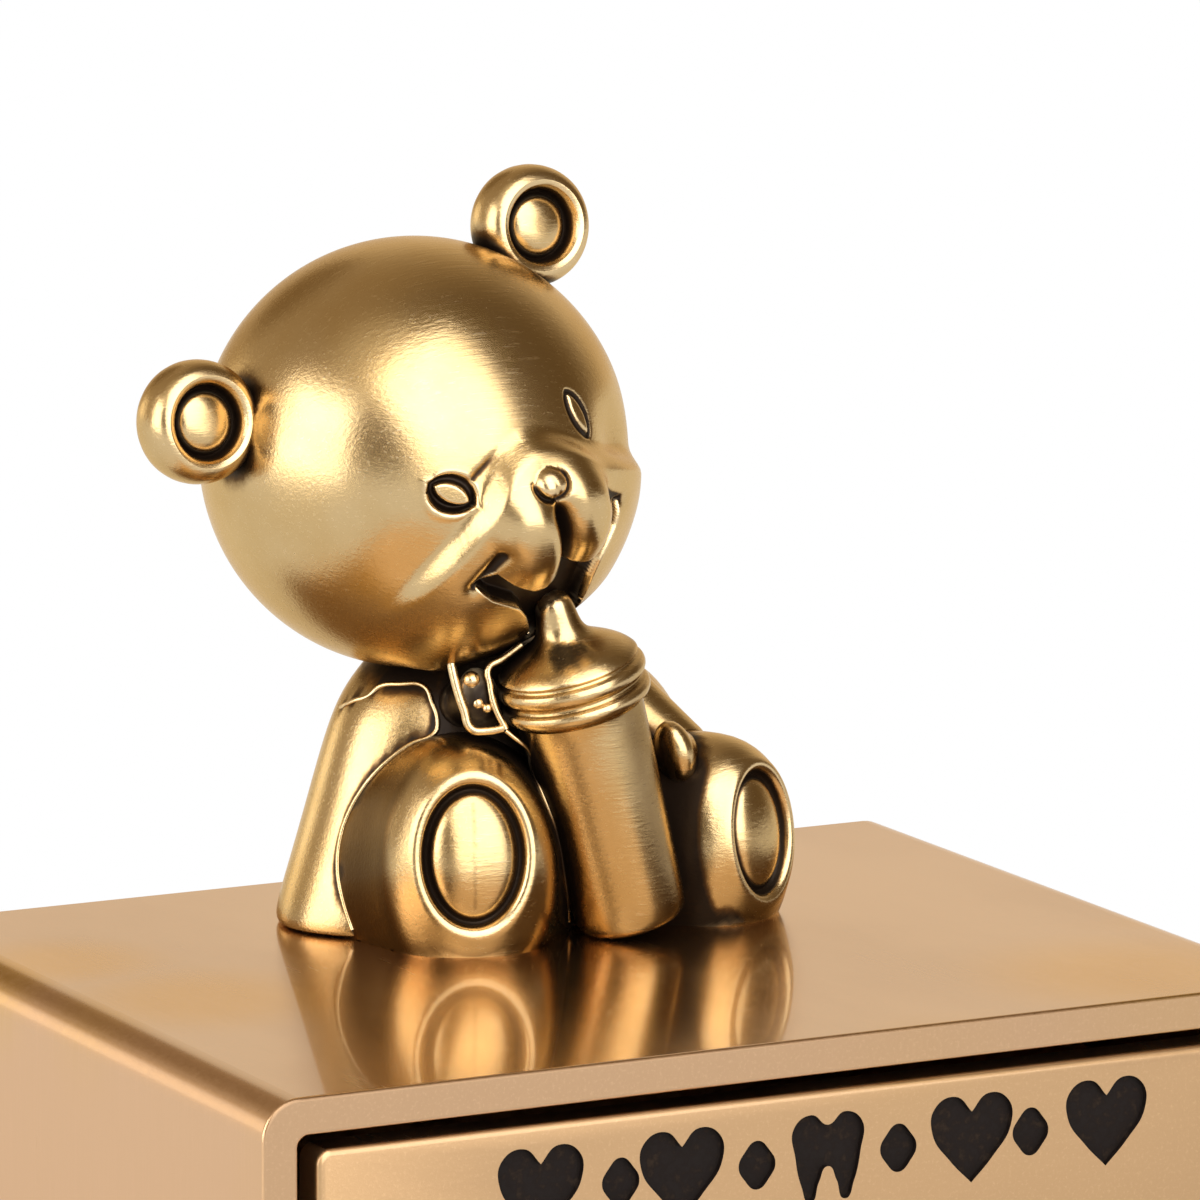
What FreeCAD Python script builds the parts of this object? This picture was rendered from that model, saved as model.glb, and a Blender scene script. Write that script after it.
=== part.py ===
"""Keepsake box for a first tooth: a brass drawer case with a seated bear on its top plate.

Millimetres, +Z up, +X to the viewer's right, the drawer opens towards -Y.
The origin is the centre of the underside of the felt pad.
"""
import FreeCAD, Part
import math
import os

import Sketcher

V = FreeCAD.Vector

SIZES = {
    # case
    "case_width": 60.0,
    "case_depth": 45.0,
    "sleeve_height": 29.0,
    "wall": 1.9,
    "corner_radius": 2.0,
    "opening_radius": 0.6,
    "rim_round": 0.2,
    "back_thick": 1.5,
    "back_step": 0.8,
    "felt_thick": 1.0,
    "felt_inset": 2.0,
    "felt_corner": 3.0,
    # drawer
    "front_thick": 2.0,
    "front_gap_side": 1.0,
    "front_gap_top": 0.8,
    "front_gap_bottom": 0.4,
    "front_corner": 0.8,
    "front_round": 0.35,
    "tray_gap_side": 1.2,
    "tray_height": 20.0,
    "tray_wall": 1.2,
    "tray_floor": 1.2,
    "tray_corner": 0.8,
    "lining_thick": 1.0,
    "lining_gap": 0.4,
    "lining_corner": 1.0,
    # pull of the drawer
    "knob_height": 9.5,
    "knob_radius": 3.0,
    "knob_length": 6.2,
    "knob_front_round": 2.2,
    "knob_back_round": 1.0,
    "stem_radius": 1.6,
    "stem_length": 1.6,
    "knob_screw_radius": 0.9,
    "knob_screw_reach": 3.2,
    "knob_screw_head_radius": 1.9,
    "knob_screw_head_thick": 1.1,
    "rivet_radius": 0.8,
    "rivet_reach": 1.2,
    "rivet_head_radius": 1.5,
    "rivet_head_thick": 0.6,
    "rivet_spacing": 34.0,
    # screws under the figure
    "screw_radius": 1.0,
    "screw_clear": 0.1,
    "screw_head_radius": 2.0,
    "screw_reach": 4.5,
    "screw_spacing": 12.0,
    "screw_back": 3.2,
    # bear: trunk
    "figure_x": 0.9,
    "figure_y": 12.5,
    "figure_yaw": 4.0,
    "base_wide": 13.4,
    "base_deep": 7.5,
    "waist_height": 5.5,
    "waist_wide": 11.7,
    "waist_deep": 7.0,
    "shoulder_height": 11.2,
    "shoulder_wide": 9.3,
    "shoulder_deep": 5.9,
    "neck_height": 14.8,
    "neck_wide": 4.6,
    "neck_deep": 4.2,
    "neck_shift": -1.8,
    "neck_lean": -10.0,
    # bear: head
    "head_radius": 11.18,
    "head_shift": -6.12,
    "head_back": -1.5,
    "head_rise": 10.0,
    "head_yaw": 4.2,
    "head_pitch": -7.2,
    "head_roll": -22.7,
    "spigot_radius": 1.8,
    "spigot_depth": 3.0,
    "ear_radius": 3.2,
    "ear_thick": 3.5,
    "ear_side": 11.1,
    "ear_front": 0.65,
    "ear_up": 7.5,
    "ear_round": 1.1,
    "ear_cup_radius": 1.85,
    "ear_cup_depth": 0.9,
    "ear_cup_round": 0.45,
    "ear_bead_radius": 1.25,
    "ear_bead_rise": 0.8,
    "mound_front": 8.6,
    "mound_down": 3.7,
    "mound_wide": 4.8,
    "mound_deep": 3.6,
    "mound_tall": 3.9,
    "muzzle_side": 2.1,
    "muzzle_front": 10.1,
    "muzzle_down": 4.4,
    "muzzle_wide": 2.3,
    "muzzle_deep": 2.6,
    "muzzle_tall": 2.6,
    "nose_front": 12.3,
    "nose_down": 1.6,
    "nose_wide": 1.2,
    "nose_deep": 1.4,
    "nose_tall": 1.0,
    "chin_front": 7.3,
    "chin_down": 7.6,
    "chin_wide": 2.8,
    "chin_deep": 1.9,
    "chin_tall": 1.7,
    "eye_side": 4.2,
    "eye_front": 10.4,
    "eye_up": 0.2,
    "eye_wide": 1.3,
    "eye_tall": 0.85,
    "eye_deep": 0.5,
    "bead_wide": 0.8,
    "bead_tall": 0.5,
    "bead_deep": 0.65,
    # bear: legs and arms
    "leg_splay": 22.5,
    "right_leg_spread": 8.4,
    "left_leg_spread": 9.5,
    "right_leg_scale": 1.0,
    "left_leg_scale": 0.89,
    "leg_reach": 11.0,
    "sole_lean": 7.0,
    "sole_rise": 5.3,
    "sole_wide": 3.3,
    "sole_tall": 4.4,
    "ankle_back": 0.9,
    "ankle_rise": 4.8,
    "ankle_wide": 4.2,
    "ankle_tall": 5.8,
    "calf_back": 3.4,
    "calf_rise": 4.2,
    "calf_wide": 5.0,
    "calf_tall": 7.1,
    "thigh_back": 7.2,
    "thigh_rise": 3.4,
    "thigh_wide": 6.7,
    "thigh_tall": 7.8,
    "hip_back": 11.0,
    "hip_rise": 3.4,
    "hip_wide": 4.6,
    "hip_tall": 6.4,
    "pad_wide": 2.35,
    "pad_tall": 3.35,
    "pad_groove": 0.45,
    "pad_depth": 0.45,
    "pad_rise": 0.45,
    "arm_out": 7.2,
    "arm_front": 1.8,
    "right_arm_height": 11.5,
    "left_arm_height": 9.2,
    "arm_radius": 2.2,
    "elbow_out": 7.9,
    "elbow_front": 4.8,
    "right_elbow_drop": 3.4,
    "left_elbow_drop": 0.4,
    "elbow_radius": 1.9,
    "wrist_radius": 1.5,
    "paw_wide": 1.6,
    "paw_tall": 2.2,
    "right_paw_reach": 1.3,
    "left_paw_reach": 0.4,
    "right_paw_along": 12.9,
    "left_paw_along": 8.3,
    # feeding bottle
    "bottle_side": 2.0,
    "bottle_front": 9.5,
    "bottle_lift": 0.55,
    "bottle_foot_radius": 2.95,
    "bottle_foot_round": 0.8,
    "bottle_top_radius": 3.35,
    "bottle_body": 12.4,
    "collar_radius": 3.95,
    "collar_height": 2.3,
    "collar_groove": 0.4,
    "dome_radius": 3.5,
    "dome_height": 1.3,
    "teat_foot_radius": 1.7,
    "teat_radius": 1.05,
    "teat_round": 0.9,
    "teat_sink": 0.3,
    "mouth_side": 0.0,
    "mouth_front": 7.5,
    "mouth_down": 8.3,
}

doc = FreeCAD.newDocument("tooth_box")
sheet = doc.addObject("Spreadsheet::Sheet", "sizes")
for row, (alias, value) in enumerate(SIZES.items(), start=1):
    sheet.set("A%d" % row, alias)
    sheet.set("B%d" % row, str(value))
    sheet.setAlias("B%d" % row, alias)
doc.recompute()


def size(alias):
    """The value of one cell of the sheet."""
    return float(sheet.get(alias))


def cell(text):
    """Prefix every alias in a formula with the sheet's name."""
    words = text.replace("(", "( ").replace(")", " )").split()
    return " ".join("sizes." + word if word in SIZES else word for word in words)


def bind(obj, **formulas):
    """Bind properties of an object to formulas over the sheet."""
    for name, formula in formulas.items():
        obj.setExpression(name, cell(formula))


def number(formula):
    """Evaluate a formula over the sheet."""
    return float(sheet.evalExpression(cell(formula)))


# Heights and planes that several pieces share, as formulas over the sheet.
SLEEVE_LOW = "felt_thick"
SLEEVE_TOP = "( felt_thick + sleeve_height )"
INNER_LOW = "( felt_thick + wall )"
INNER_TOP = "( felt_thick + sleeve_height - wall )"
INNER_HALF = "( case_width / 2 - wall )"
HALF_WIDTH = "case_width / 2"
HALF_DEPTH = "case_depth / 2"
FRONT_BACK = "( case_depth / 2 - front_thick )"
KNOB_LEVEL = "( felt_thick + wall + front_gap_bottom + knob_height )"


def new_body(name):
    """A body whose label names its file."""
    body = doc.addObject("PartDesign::Body", name)
    body.Label = name
    return body


def new_sketch(body, name, role, level):
    """A sketch on one of the body's own planes, lifted along the plane's normal."""
    sketch = body.newObject("Sketcher::SketchObject", name)
    planes = [f for f in body.Origin.OriginFeatures if f.Role == role]
    sketch.AttachmentSupport = (planes[0], "")
    sketch.MapMode = "FlatFace"
    sketch.setExpression("AttachmentOffset.Base.z", cell(level))
    return sketch


def constrain(sketch, kind, *arguments):
    """Add a dimension whose last argument is a formula over the sheet."""
    formula = arguments[-1]
    index = sketch.addConstraint(Sketcher.Constraint(kind, *arguments[:-1], number(formula)))
    sketch.setExpression("Constraints[%d]" % index, cell(formula))


def outline(sketch, corners):
    """Closed outline of straight lines through corners given as formulas."""
    points = [V(number(x), number(y), 0) for x, y in corners]
    count = len(points)
    for i in range(count):
        sketch.addGeometry(Part.LineSegment(points[i], points[(i + 1) % count]), False)
    for i in range(count):
        sketch.addConstraint(Sketcher.Constraint("Coincident", i, 2, (i + 1) % count, 1))
    for i, (x, y) in enumerate(corners):
        constrain(sketch, "DistanceX", -1, 1, i, 1, x)
        constrain(sketch, "DistanceY", -1, 1, i, 1, y)


def box_outline(sketch, left, low, right, high):
    """Rectangular outline between two corners."""
    outline(sketch, [(left, low), (right, low), (right, high), (left, high)])


def circles(sketch, places):
    """Circles given as centre x, centre y and radius formulas."""
    for i, (x, y, radius) in enumerate(places):
        centre = V(number(x), number(y), 0)
        sketch.addGeometry(Part.Circle(centre, V(0, 0, 1), number(radius)), False)
        constrain(sketch, "DistanceX", -1, 1, i, 3, x)
        constrain(sketch, "DistanceY", -1, 1, i, 3, y)
        constrain(sketch, "Radius", i, radius)


def pad(body, sketch, name, length, reverse=False):
    """Extrude a sketch into the body."""
    feature = body.newObject("PartDesign::Pad", name)
    feature.Profile = sketch
    feature.Reversed = reverse
    bind(feature, Length=length)
    doc.recompute()
    return feature


def pocket(body, sketch, name, length, reverse=False):
    """Cut a sketch out of the body and make sure that it met material."""
    before = body.Shape.Volume
    feature = body.newObject("PartDesign::Pocket", name)
    feature.Profile = sketch
    feature.Reversed = reverse
    bind(feature, Length=length)
    doc.recompute()
    if not body.Shape.Volume < before:
        raise RuntimeError(name + " cuts nothing")
    return feature


def soften(body, kind, name, amount, chosen):
    """Fillet or chamfer the edges of the body's tip that a test picks."""
    tip = body.Tip
    edges = ["Edge%d" % i for i, edge in enumerate(tip.Shape.Edges, 1) if chosen(edge)]
    if not edges:
        raise RuntimeError(name + " finds no edge")
    feature = body.newObject("PartDesign::" + kind, name)
    feature.Base = (tip, edges)
    bind(feature, **{"Radius" if kind == "Fillet" else "Size": amount})
    doc.recompute()
    return feature


def along(axis):
    """Test for straight edges that run along an axis."""
    def test(edge):
        straight = edge.Curve.TypeId == "Part::GeomLine"
        return straight and abs(abs(edge.tangentAt(edge.FirstParameter).dot(axis)) - 1) < 1e-6
    return test


def flat_at(axis, level):
    """Test for edges that lie in the plane at a level along an axis."""
    def test(edge):
        ends = [edge.valueAt(edge.FirstParameter), edge.valueAt(edge.LastParameter)]
        ends.append(edge.valueAt((edge.FirstParameter + edge.LastParameter) / 2))
        return all(abs(p.dot(axis) - level) < 1e-5 for p in ends)
    return test


def solid(kind, name, place, **formulas):
    """A primitive bound to the sheet, at a place."""
    obj = doc.addObject("Part::" + kind, name)
    bind(obj, **formulas)
    obj.Placement = place
    return obj


def joined(name, pieces):
    """Several solids as one object."""
    obj = doc.addObject("Part::MultiFuse", name)
    obj.Label = name
    obj.Shapes = pieces
    obj.Refine = True
    return obj


def cut(name, base, tool):
    """One object less another."""
    obj = doc.addObject("Part::Cut", name)
    obj.Label = name
    obj.Base = base
    obj.Tool = tool
    obj.Refine = False
    return obj


X_AXIS, Y_AXIS, Z_AXIS = V(1, 0, 0), V(0, 1, 0), V(0, 0, 1)


def at(x, y, z, turn=FreeCAD.Rotation()):
    """A place given by coordinates and a turn."""
    return FreeCAD.Placement(V(x, y, z), turn)


def make_case():
    """Sleeve with an open front, its back panel and the felt under it."""
    sleeve = new_body("case_sleeve")
    profile = new_sketch(sleeve, "sleeve_profile", "XZ_Plane", HALF_DEPTH)
    box_outline(profile, "- " + HALF_WIDTH, SLEEVE_LOW, HALF_WIDTH, SLEEVE_TOP)
    pad(sleeve, profile, "sleeve_block", "case_depth", reverse=True)
    soften(sleeve, "Fillet", "sleeve_corners", "corner_radius", along(Y_AXIS))
    opening = new_sketch(sleeve, "opening_profile", "XZ_Plane", HALF_DEPTH)
    box_outline(opening, "- " + INNER_HALF, INNER_LOW, INNER_HALF, INNER_TOP)
    pocket(sleeve, opening, "opening", "case_depth")
    inside = number(INNER_HALF) + 1e-3

    def inner_corner(edge):
        return along(Y_AXIS)(edge) and abs(abs(edge.valueAt(0).x) - inside) < 1e-2

    soften(sleeve, "Fillet", "opening_corners", "opening_radius", inner_corner)
    rebate = new_sketch(sleeve, "rebate_profile", "XZ_Plane", "- " + HALF_DEPTH)
    half = "( case_width / 2 - wall + back_step )"
    low = "( felt_thick + wall - back_step )"
    high = "( felt_thick + sleeve_height - wall + back_step )"
    box_outline(rebate, "- " + half, low, half, high)
    pocket(sleeve, rebate, "rebate", "back_thick", reverse=True)
    holes = new_sketch(sleeve, "screw_holes", "XY_Plane", SLEEVE_TOP)
    bore = "( screw_radius + screw_clear )"
    circles(holes, [("figure_x - screw_spacing / 2", "figure_y + screw_back", bore),
                    ("figure_x + screw_spacing / 2", "figure_y + screw_back", bore)])
    pocket(sleeve, holes, "screw_bores", "wall")
    under_top = flat_at(Z_AXIS, number(INNER_TOP))

    def bore_mouth(edge):
        return edge.Curve.TypeId == "Part::GeomCircle" and edge.isClosed() and under_top(edge)

    soften(sleeve, "Chamfer", "screw_sinks", "screw_head_radius - screw_radius", bore_mouth)
    front = flat_at(Y_AXIS, -number(HALF_DEPTH))
    soften(sleeve, "Fillet", "front_rim", "rim_round", front)

    panel = new_body("back_panel")
    plate = new_sketch(panel, "panel_profile", "XZ_Plane", "- " + HALF_DEPTH)
    box_outline(plate, "- " + half, low, half, high)
    pad(panel, plate, "panel_plate", "back_thick")

    felt = new_body("base_felt")
    sheet_profile = new_sketch(felt, "felt_profile", "XY_Plane", "0")
    x, y = "( case_width / 2 - felt_inset )", "( case_depth / 2 - felt_inset )"
    box_outline(sheet_profile, "- " + x, "- " + y, x, y)
    pad(felt, sheet_profile, "felt_pad", "felt_thick")
    soften(felt, "Fillet", "felt_corners", "felt_corner", along(Z_AXIS))
    return [sleeve, panel, felt]


def make_drawer():
    """Front, tray and lining of the drawer, with its knob and fastenings."""
    front = new_body("drawer_front")
    face = new_sketch(front, "front_profile", "XZ_Plane", HALF_DEPTH)
    half = "( case_width / 2 - wall - front_gap_side )"
    box_outline(face, "- " + half, "( felt_thick + wall + front_gap_bottom )",
                half, "( felt_thick + sleeve_height - wall - front_gap_top )")
    pad(front, face, "front_plate", "front_thick", reverse=True)
    soften(front, "Fillet", "front_corners", "front_corner", along(Y_AXIS))
    soften(front, "Fillet", "front_edges", "front_round", flat_at(Y_AXIS, -number(HALF_DEPTH)))
    rivets = [("- rivet_spacing / 2", KNOB_LEVEL, "rivet_radius"),
              ("rivet_spacing / 2", KNOB_LEVEL, "rivet_radius")]
    shank = [("0", KNOB_LEVEL, "knob_screw_radius")]
    hole = new_sketch(front, "front_hole", "XZ_Plane", HALF_DEPTH)
    circles(hole, shank)
    pocket(front, hole, "front_bore", "front_thick")
    blind = new_sketch(front, "front_blind", "XZ_Plane", FRONT_BACK)
    circles(blind, rivets)
    pocket(front, blind, "front_sockets", "rivet_reach", reverse=True)

    tray = new_body("drawer_tray")
    plan = new_sketch(tray, "tray_profile", "XY_Plane", INNER_LOW)
    side = "( case_width / 2 - wall - tray_gap_side )"
    rear = "( case_depth / 2 - back_thick )"
    box_outline(plan, "- " + side, "- " + FRONT_BACK, side, rear)
    pad(tray, plan, "tray_block", "tray_height")
    soften(tray, "Fillet", "tray_corners", "tray_corner", along(Z_AXIS))
    inner = new_sketch(tray, "tray_inside", "XY_Plane", INNER_LOW + " + tray_height")
    side_in = "( case_width / 2 - wall - tray_gap_side - tray_wall )"
    box_outline(inner, "- " + side_in, "- " + FRONT_BACK + " + tray_wall",
                side_in, rear + " - tray_wall")
    pocket(tray, inner, "tray_hollow", "tray_height - tray_floor")
    through = new_sketch(tray, "tray_holes", "XZ_Plane", FRONT_BACK)
    circles(through, shank + rivets)
    pocket(tray, through, "tray_bores", "tray_wall")

    lining = new_body("drawer_lining")
    pile = new_sketch(lining, "lining_profile", "XY_Plane", INNER_LOW + " + tray_floor")
    edge = "( case_width / 2 - wall - tray_gap_side - tray_wall - lining_gap )"
    box_outline(pile, "- " + edge, "- " + FRONT_BACK + " + tray_wall + lining_gap",
                edge, rear + " - tray_wall - lining_gap")
    pad(lining, pile, "lining_pad", "lining_thick")
    soften(lining, "Fillet", "lining_corners", "lining_corner", along(Z_AXIS))

    knob = new_body("drawer_knob")
    turned = new_sketch(knob, "knob_profile", "XY_Plane", "0")
    outline(turned, [("knob_screw_radius", "0"), ("stem_radius", "0"),
                     ("stem_radius", "- stem_length"), ("knob_radius", "- stem_length"),
                     ("knob_radius", "- knob_length"), ("0", "- knob_length"),
                     ("0", "- knob_screw_reach"), ("knob_screw_radius", "- knob_screw_reach")])
    spin = knob.newObject("PartDesign::Revolution", "knob_turning")
    spin.Profile = turned
    spin.ReferenceAxis = (turned, ["V_Axis"])
    spin.Angle = 360
    doc.recompute()
    soften(knob, "Fillet", "knob_front", "knob_front_round",
           flat_at(Y_AXIS, -size("knob_length")))
    rim = size("knob_radius") - 1e-3

    def knob_back(edge):
        wide = edge.BoundBox.XMax > rim
        return wide and flat_at(Y_AXIS, -size("stem_length"))(edge)

    soften(knob, "Fillet", "knob_back", "knob_back_round", knob_back)
    knob.Placement = at(0, -number(HALF_DEPTH), number(KNOB_LEVEL))

    seat = -number(FRONT_BACK) + size("tray_wall")
    level = number(KNOB_LEVEL)
    forward, backward = FreeCAD.Rotation(X_AXIS, 90), FreeCAD.Rotation(X_AXIS, -90)
    screw = joined("knob_screw", [
        solid("Cylinder", "knob_screw_shank", at(0, seat, level, forward),
              Radius="knob_screw_radius", Height="front_thick + tray_wall + knob_screw_reach"),
        solid("Cylinder", "knob_screw_head", at(0, seat, level, backward),
              Radius="knob_screw_head_radius", Height="knob_screw_head_thick")])
    stems = []
    for mark, sign in (("a", -1), ("b", 1)):
        x = sign * size("rivet_spacing") / 2
        stems.append(solid("Cylinder", "rivet_shank_" + mark, at(x, seat, level, forward),
                           Radius="rivet_radius", Height="tray_wall + rivet_reach"))
        stems.append(solid("Cylinder", "rivet_head_" + mark, at(x, seat, level, backward),
                           Radius="rivet_head_radius", Height="rivet_head_thick"))
    return [front, tray, lining, knob, screw, joined("tray_rivets", stems)]


def ellipse(name, place, wide, tall):
    """Elliptic section whose longer radius comes first."""
    return solid("Ellipse", name, place, MajorRadius=wide, MinorRadius=tall)


def loft(name, sections):
    """Smooth solid through closed sections."""
    obj = doc.addObject("Part::Loft", name)
    obj.Label = name
    obj.Sections = sections
    obj.Solid = True
    return obj


def make_figure():
    """Seated bear with a feeding bottle: castings that seat in one another."""
    top = number(SLEEVE_TOP)
    yaw = FreeCAD.Rotation(Z_AXIS, size("figure_yaw"))
    figure = at(size("figure_x"), size("figure_y"), top, yaw)

    # Trunk: four elliptic sections, widest where it sits, its neck leaning to the head.
    sections = []
    for part, level in (("base", 0), ("waist", size("waist_height")),
                        ("shoulder", size("shoulder_height"))):
        sections.append(ellipse(part + "_section", figure.multiply(at(0, 0, level)),
                                part + "_wide", part + "_deep"))
    neck = figure.multiply(at(size("neck_shift"), 0, size("neck_height"),
                              FreeCAD.Rotation(Y_AXIS, size("neck_lean"))))
    sections.append(ellipse("neck_section", neck, "neck_wide", "neck_deep"))
    trunk = loft("trunk_loft", sections)

    # Head frame: leaning to the bear's right and looking slightly up.
    turn = FreeCAD.Rotation(Z_AXIS, size("head_yaw"))
    turn = turn.multiply(FreeCAD.Rotation(X_AXIS, size("head_pitch")))
    turn = turn.multiply(FreeCAD.Rotation(Y_AXIS, size("head_roll")))
    centre = V(size("figure_x") + size("head_shift"), size("figure_y") + size("head_back"),
               top + size("neck_height") + size("head_rise"))
    head = FreeCAD.Placement(centre, turn)

    def on_head(x, y, z, tilt=FreeCAD.Rotation()):
        return head.multiply(at(x, y, z, tilt))

    # Bottle: from its foot on the plate towards the mouth.
    foot = figure.multVec(V(size("bottle_side"), -size("bottle_front"), size("bottle_lift")))
    mouth = head.multVec(V(size("mouth_side"), -size("mouth_front"), -size("mouth_down")))
    lean = FreeCAD.Rotation(Z_AXIS, mouth - foot)
    bottle_frame = FreeCAD.Placement(foot, lean)

    def on_bottle(distance):
        return bottle_frame.multiply(at(0, 0, distance))

    teat_end = (mouth - foot).Length + size("teat_sink")
    whole_bottle = make_bottle(teat_end)
    whole_bottle.Placement = bottle_frame
    corner = at(-size("case_width") / 2, -size("case_depth") / 2, top - size("sleeve_height"))
    ground = solid("Box", "plate_space", corner, Length="case_width", Width="case_depth",
                   Height="sleeve_height")
    bottle = cut("feeding_bottle", whole_bottle, ground)

    # Legs: five sections from the sole back to the hip, flat where they rest on the plate.
    upright = FreeCAD.Rotation(V(1, 1, 1), -120)
    legs = []
    for side, sign in (("right", -1), ("left", 1)):
        aim = FreeCAD.Rotation(Z_AXIS, sign * size("leg_splay"))
        aim = aim.multiply(FreeCAD.Rotation(X_AXIS, -size("sole_lean")))
        leg = figure.multiply(at(sign * size(side + "_leg_spread"), -size("leg_reach"), 0, aim))
        scale = side + "_leg_scale"
        rings = []
        for part, distance in (("sole", 0), ("ankle", size("ankle_back")),
                               ("calf", size("calf_back")), ("thigh", size("thigh_back")),
                               ("hip", size("hip_back"))):
            rise = size(part + "_rise") * size(scale)
            rings.append(ellipse(side + "_" + part, leg.multiply(at(0, distance, rise, upright)),
                                 part + "_tall * " + scale, part + "_wide * " + scale))
        limb = loft(side + "_limb", rings)
        rise = size("sole_rise") * size(scale)
        moat = []
        for part, distance in (("front", -size("pad_depth")), ("floor", size("pad_depth"))):
            moat.append(ellipse(side + "_moat_" + part,
                                leg.multiply(at(0, distance, rise, upright)),
                                "( pad_tall + pad_groove ) * " + scale,
                                "( pad_wide + pad_groove ) * " + scale))
        cushion = solid("Ellipsoid", side + "_pad", leg.multiply(at(0, size("pad_depth"), rise)),
                        Radius1="pad_tall * " + scale, Radius2="pad_wide * " + scale,
                        Radius3="pad_depth + pad_rise")
        hollow = cut(side + "_hollow", limb, loft(side + "_moat", moat))
        shod = joined(side + "_shod", [hollow, cushion])
        seated = cut(side + "_rested", shod, ground)
        for leg_before in legs:
            seated = cut(side + "_parted", seated, leg_before)
        legs.append(cut("bear_%s_leg" % side, seated, bottle))

    # Head: ball with two muzzle lobes, nose, chin, eyes and cup-shaped ears.
    crown = FreeCAD.Rotation(X_AXIS, 70).multiply(FreeCAD.Rotation(Z_AXIS, 90))
    lobes = [solid("Sphere", "skull", on_head(0, 0, 0, crown), Radius="head_radius"),
             solid("Ellipsoid", "mound", on_head(0, -size("mound_front"), -size("mound_down")),
                   Radius1="mound_tall", Radius2="mound_wide", Radius3="mound_deep"),
             solid("Ellipsoid", "nose", on_head(0, -size("nose_front"), -size("nose_down")),
                   Radius1="nose_tall", Radius2="nose_wide", Radius3="nose_deep"),
             solid("Ellipsoid", "chin", on_head(0, -size("chin_front"), -size("chin_down")),
                   Radius1="chin_tall", Radius2="chin_wide", Radius3="chin_deep")]
    sockets, beads = [], []
    for side, sign in (("right", -1), ("left", 1)):
        lobes.append(solid("Ellipsoid", side + "_muzzle",
                           on_head(sign * size("muzzle_side"), -size("muzzle_front"),
                                   -size("muzzle_down")),
                           Radius1="muzzle_tall", Radius2="muzzle_wide", Radius3="muzzle_deep"))
        lobes.append(make_ear(side, on_head(sign * size("ear_side"), -size("ear_front"),
                                            size("ear_up"))))
        gaze = FreeCAD.Rotation(Z_AXIS, sign * math.degrees(
            math.atan2(size("eye_side"), size("eye_front"))))
        look = on_head(sign * size("eye_side"), -size("eye_front"), size("eye_up"), gaze)
        sockets.append(solid("Ellipsoid", side + "_eye_socket", look, Radius1="eye_tall",
                             Radius2="eye_wide", Radius3="eye_deep"))
        beads.append(solid("Ellipsoid", side + "_eye_bead", look,
                           Radius1="bead_tall", Radius2="bead_wide", Radius3="bead_deep"))
    nape = neck.Base
    reach = FreeCAD.Placement(centre, FreeCAD.Rotation(Z_AXIS, nape - centre))
    spigot = solid("Cylinder", "neck_spigot", reach, Radius="spigot_radius")
    spigot.Height = (nape - centre).Length + size("spigot_depth")
    lobes.append(spigot)
    carved = cut("head_carved", joined("head_mass", lobes), joined("eye_sockets", sockets))
    faced = joined("head_faced", [carved] + beads)
    skull = cut("bear_head", faced, bottle)

    # Arms: bent at the elbow, from the shoulders to paws that hold the bottle's sides.
    arms = []
    blockers = joined("arm_neighbours", legs + [skull, bottle])
    for side, sign in (("right", -1), ("left", 1)):
        height = size(side + "_arm_height")
        shoulder = figure.multVec(V(sign * size("arm_out"), -size("arm_front"), height))
        elbow = figure.multVec(V(sign * size("elbow_out"), -size("elbow_front"),
                                 height - size(side + "_elbow_drop")))
        spot = on_bottle(size(side + "_paw_along")).Base
        outward = figure.Rotation.multVec(V(sign, 0, 0))
        paw = spot + outward * (size("collar_radius") + size(side + "_paw_reach"))
        palm = lean.multiply(FreeCAD.Rotation(Z_AXIS, 90 + 90 * sign))
        arm = [solid("Sphere", side + "_shoulder", at(*shoulder), Radius="arm_radius"),
               solid("Sphere", side + "_elbow", at(*elbow), Radius="elbow_radius"),
               solid("Ellipsoid", side + "_paw", FreeCAD.Placement(paw, palm),
                     Radius1="paw_tall", Radius2="paw_wide", Radius3="paw_wide")]
        for part, start, end, thick, thin in (
                ("upper_arm", shoulder, elbow, "arm_radius", "elbow_radius"),
                ("forearm", elbow, paw, "elbow_radius", "wrist_radius")):
            reach = FreeCAD.Placement(start, FreeCAD.Rotation(Z_AXIS, end - start))
            bone = solid("Cone", side + "_" + part, reach, Radius1=thick, Radius2=thin)
            bone.Height = (end - start).Length
            arm.append(bone)
        arms.append(cut("bear_%s_arm" % side, joined(side + "_arm", arm), blockers))

    # Screws from inside the case, and the trunk with seats for all that meets it.
    screws = []
    start = number(INNER_TOP)
    for mark, sign in (("a", -1), ("b", 1)):
        x = size("figure_x") + sign * size("screw_spacing") / 2
        place = at(x, size("figure_y") + size("screw_back"), start)
        screws.append(solid("Cylinder", "screw_shank_" + mark, place, Radius="screw_radius",
                            Height="wall + screw_reach"))
        screws.append(solid("Cone", "screw_head_" + mark, place, Radius1="screw_head_radius",
                            Radius2="screw_radius", Height="screw_head_radius - screw_radius"))
    fixings = joined("figure_screws", screws)
    torso = trunk
    for piece in legs + arms + [bottle, fixings]:
        torso = cut("trunk_seat_of_" + piece.Label, torso, piece)
    torso = cut("bear_torso", torso, skull)
    return [skull, torso] + arms + legs + [bottle, fixings]


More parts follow.
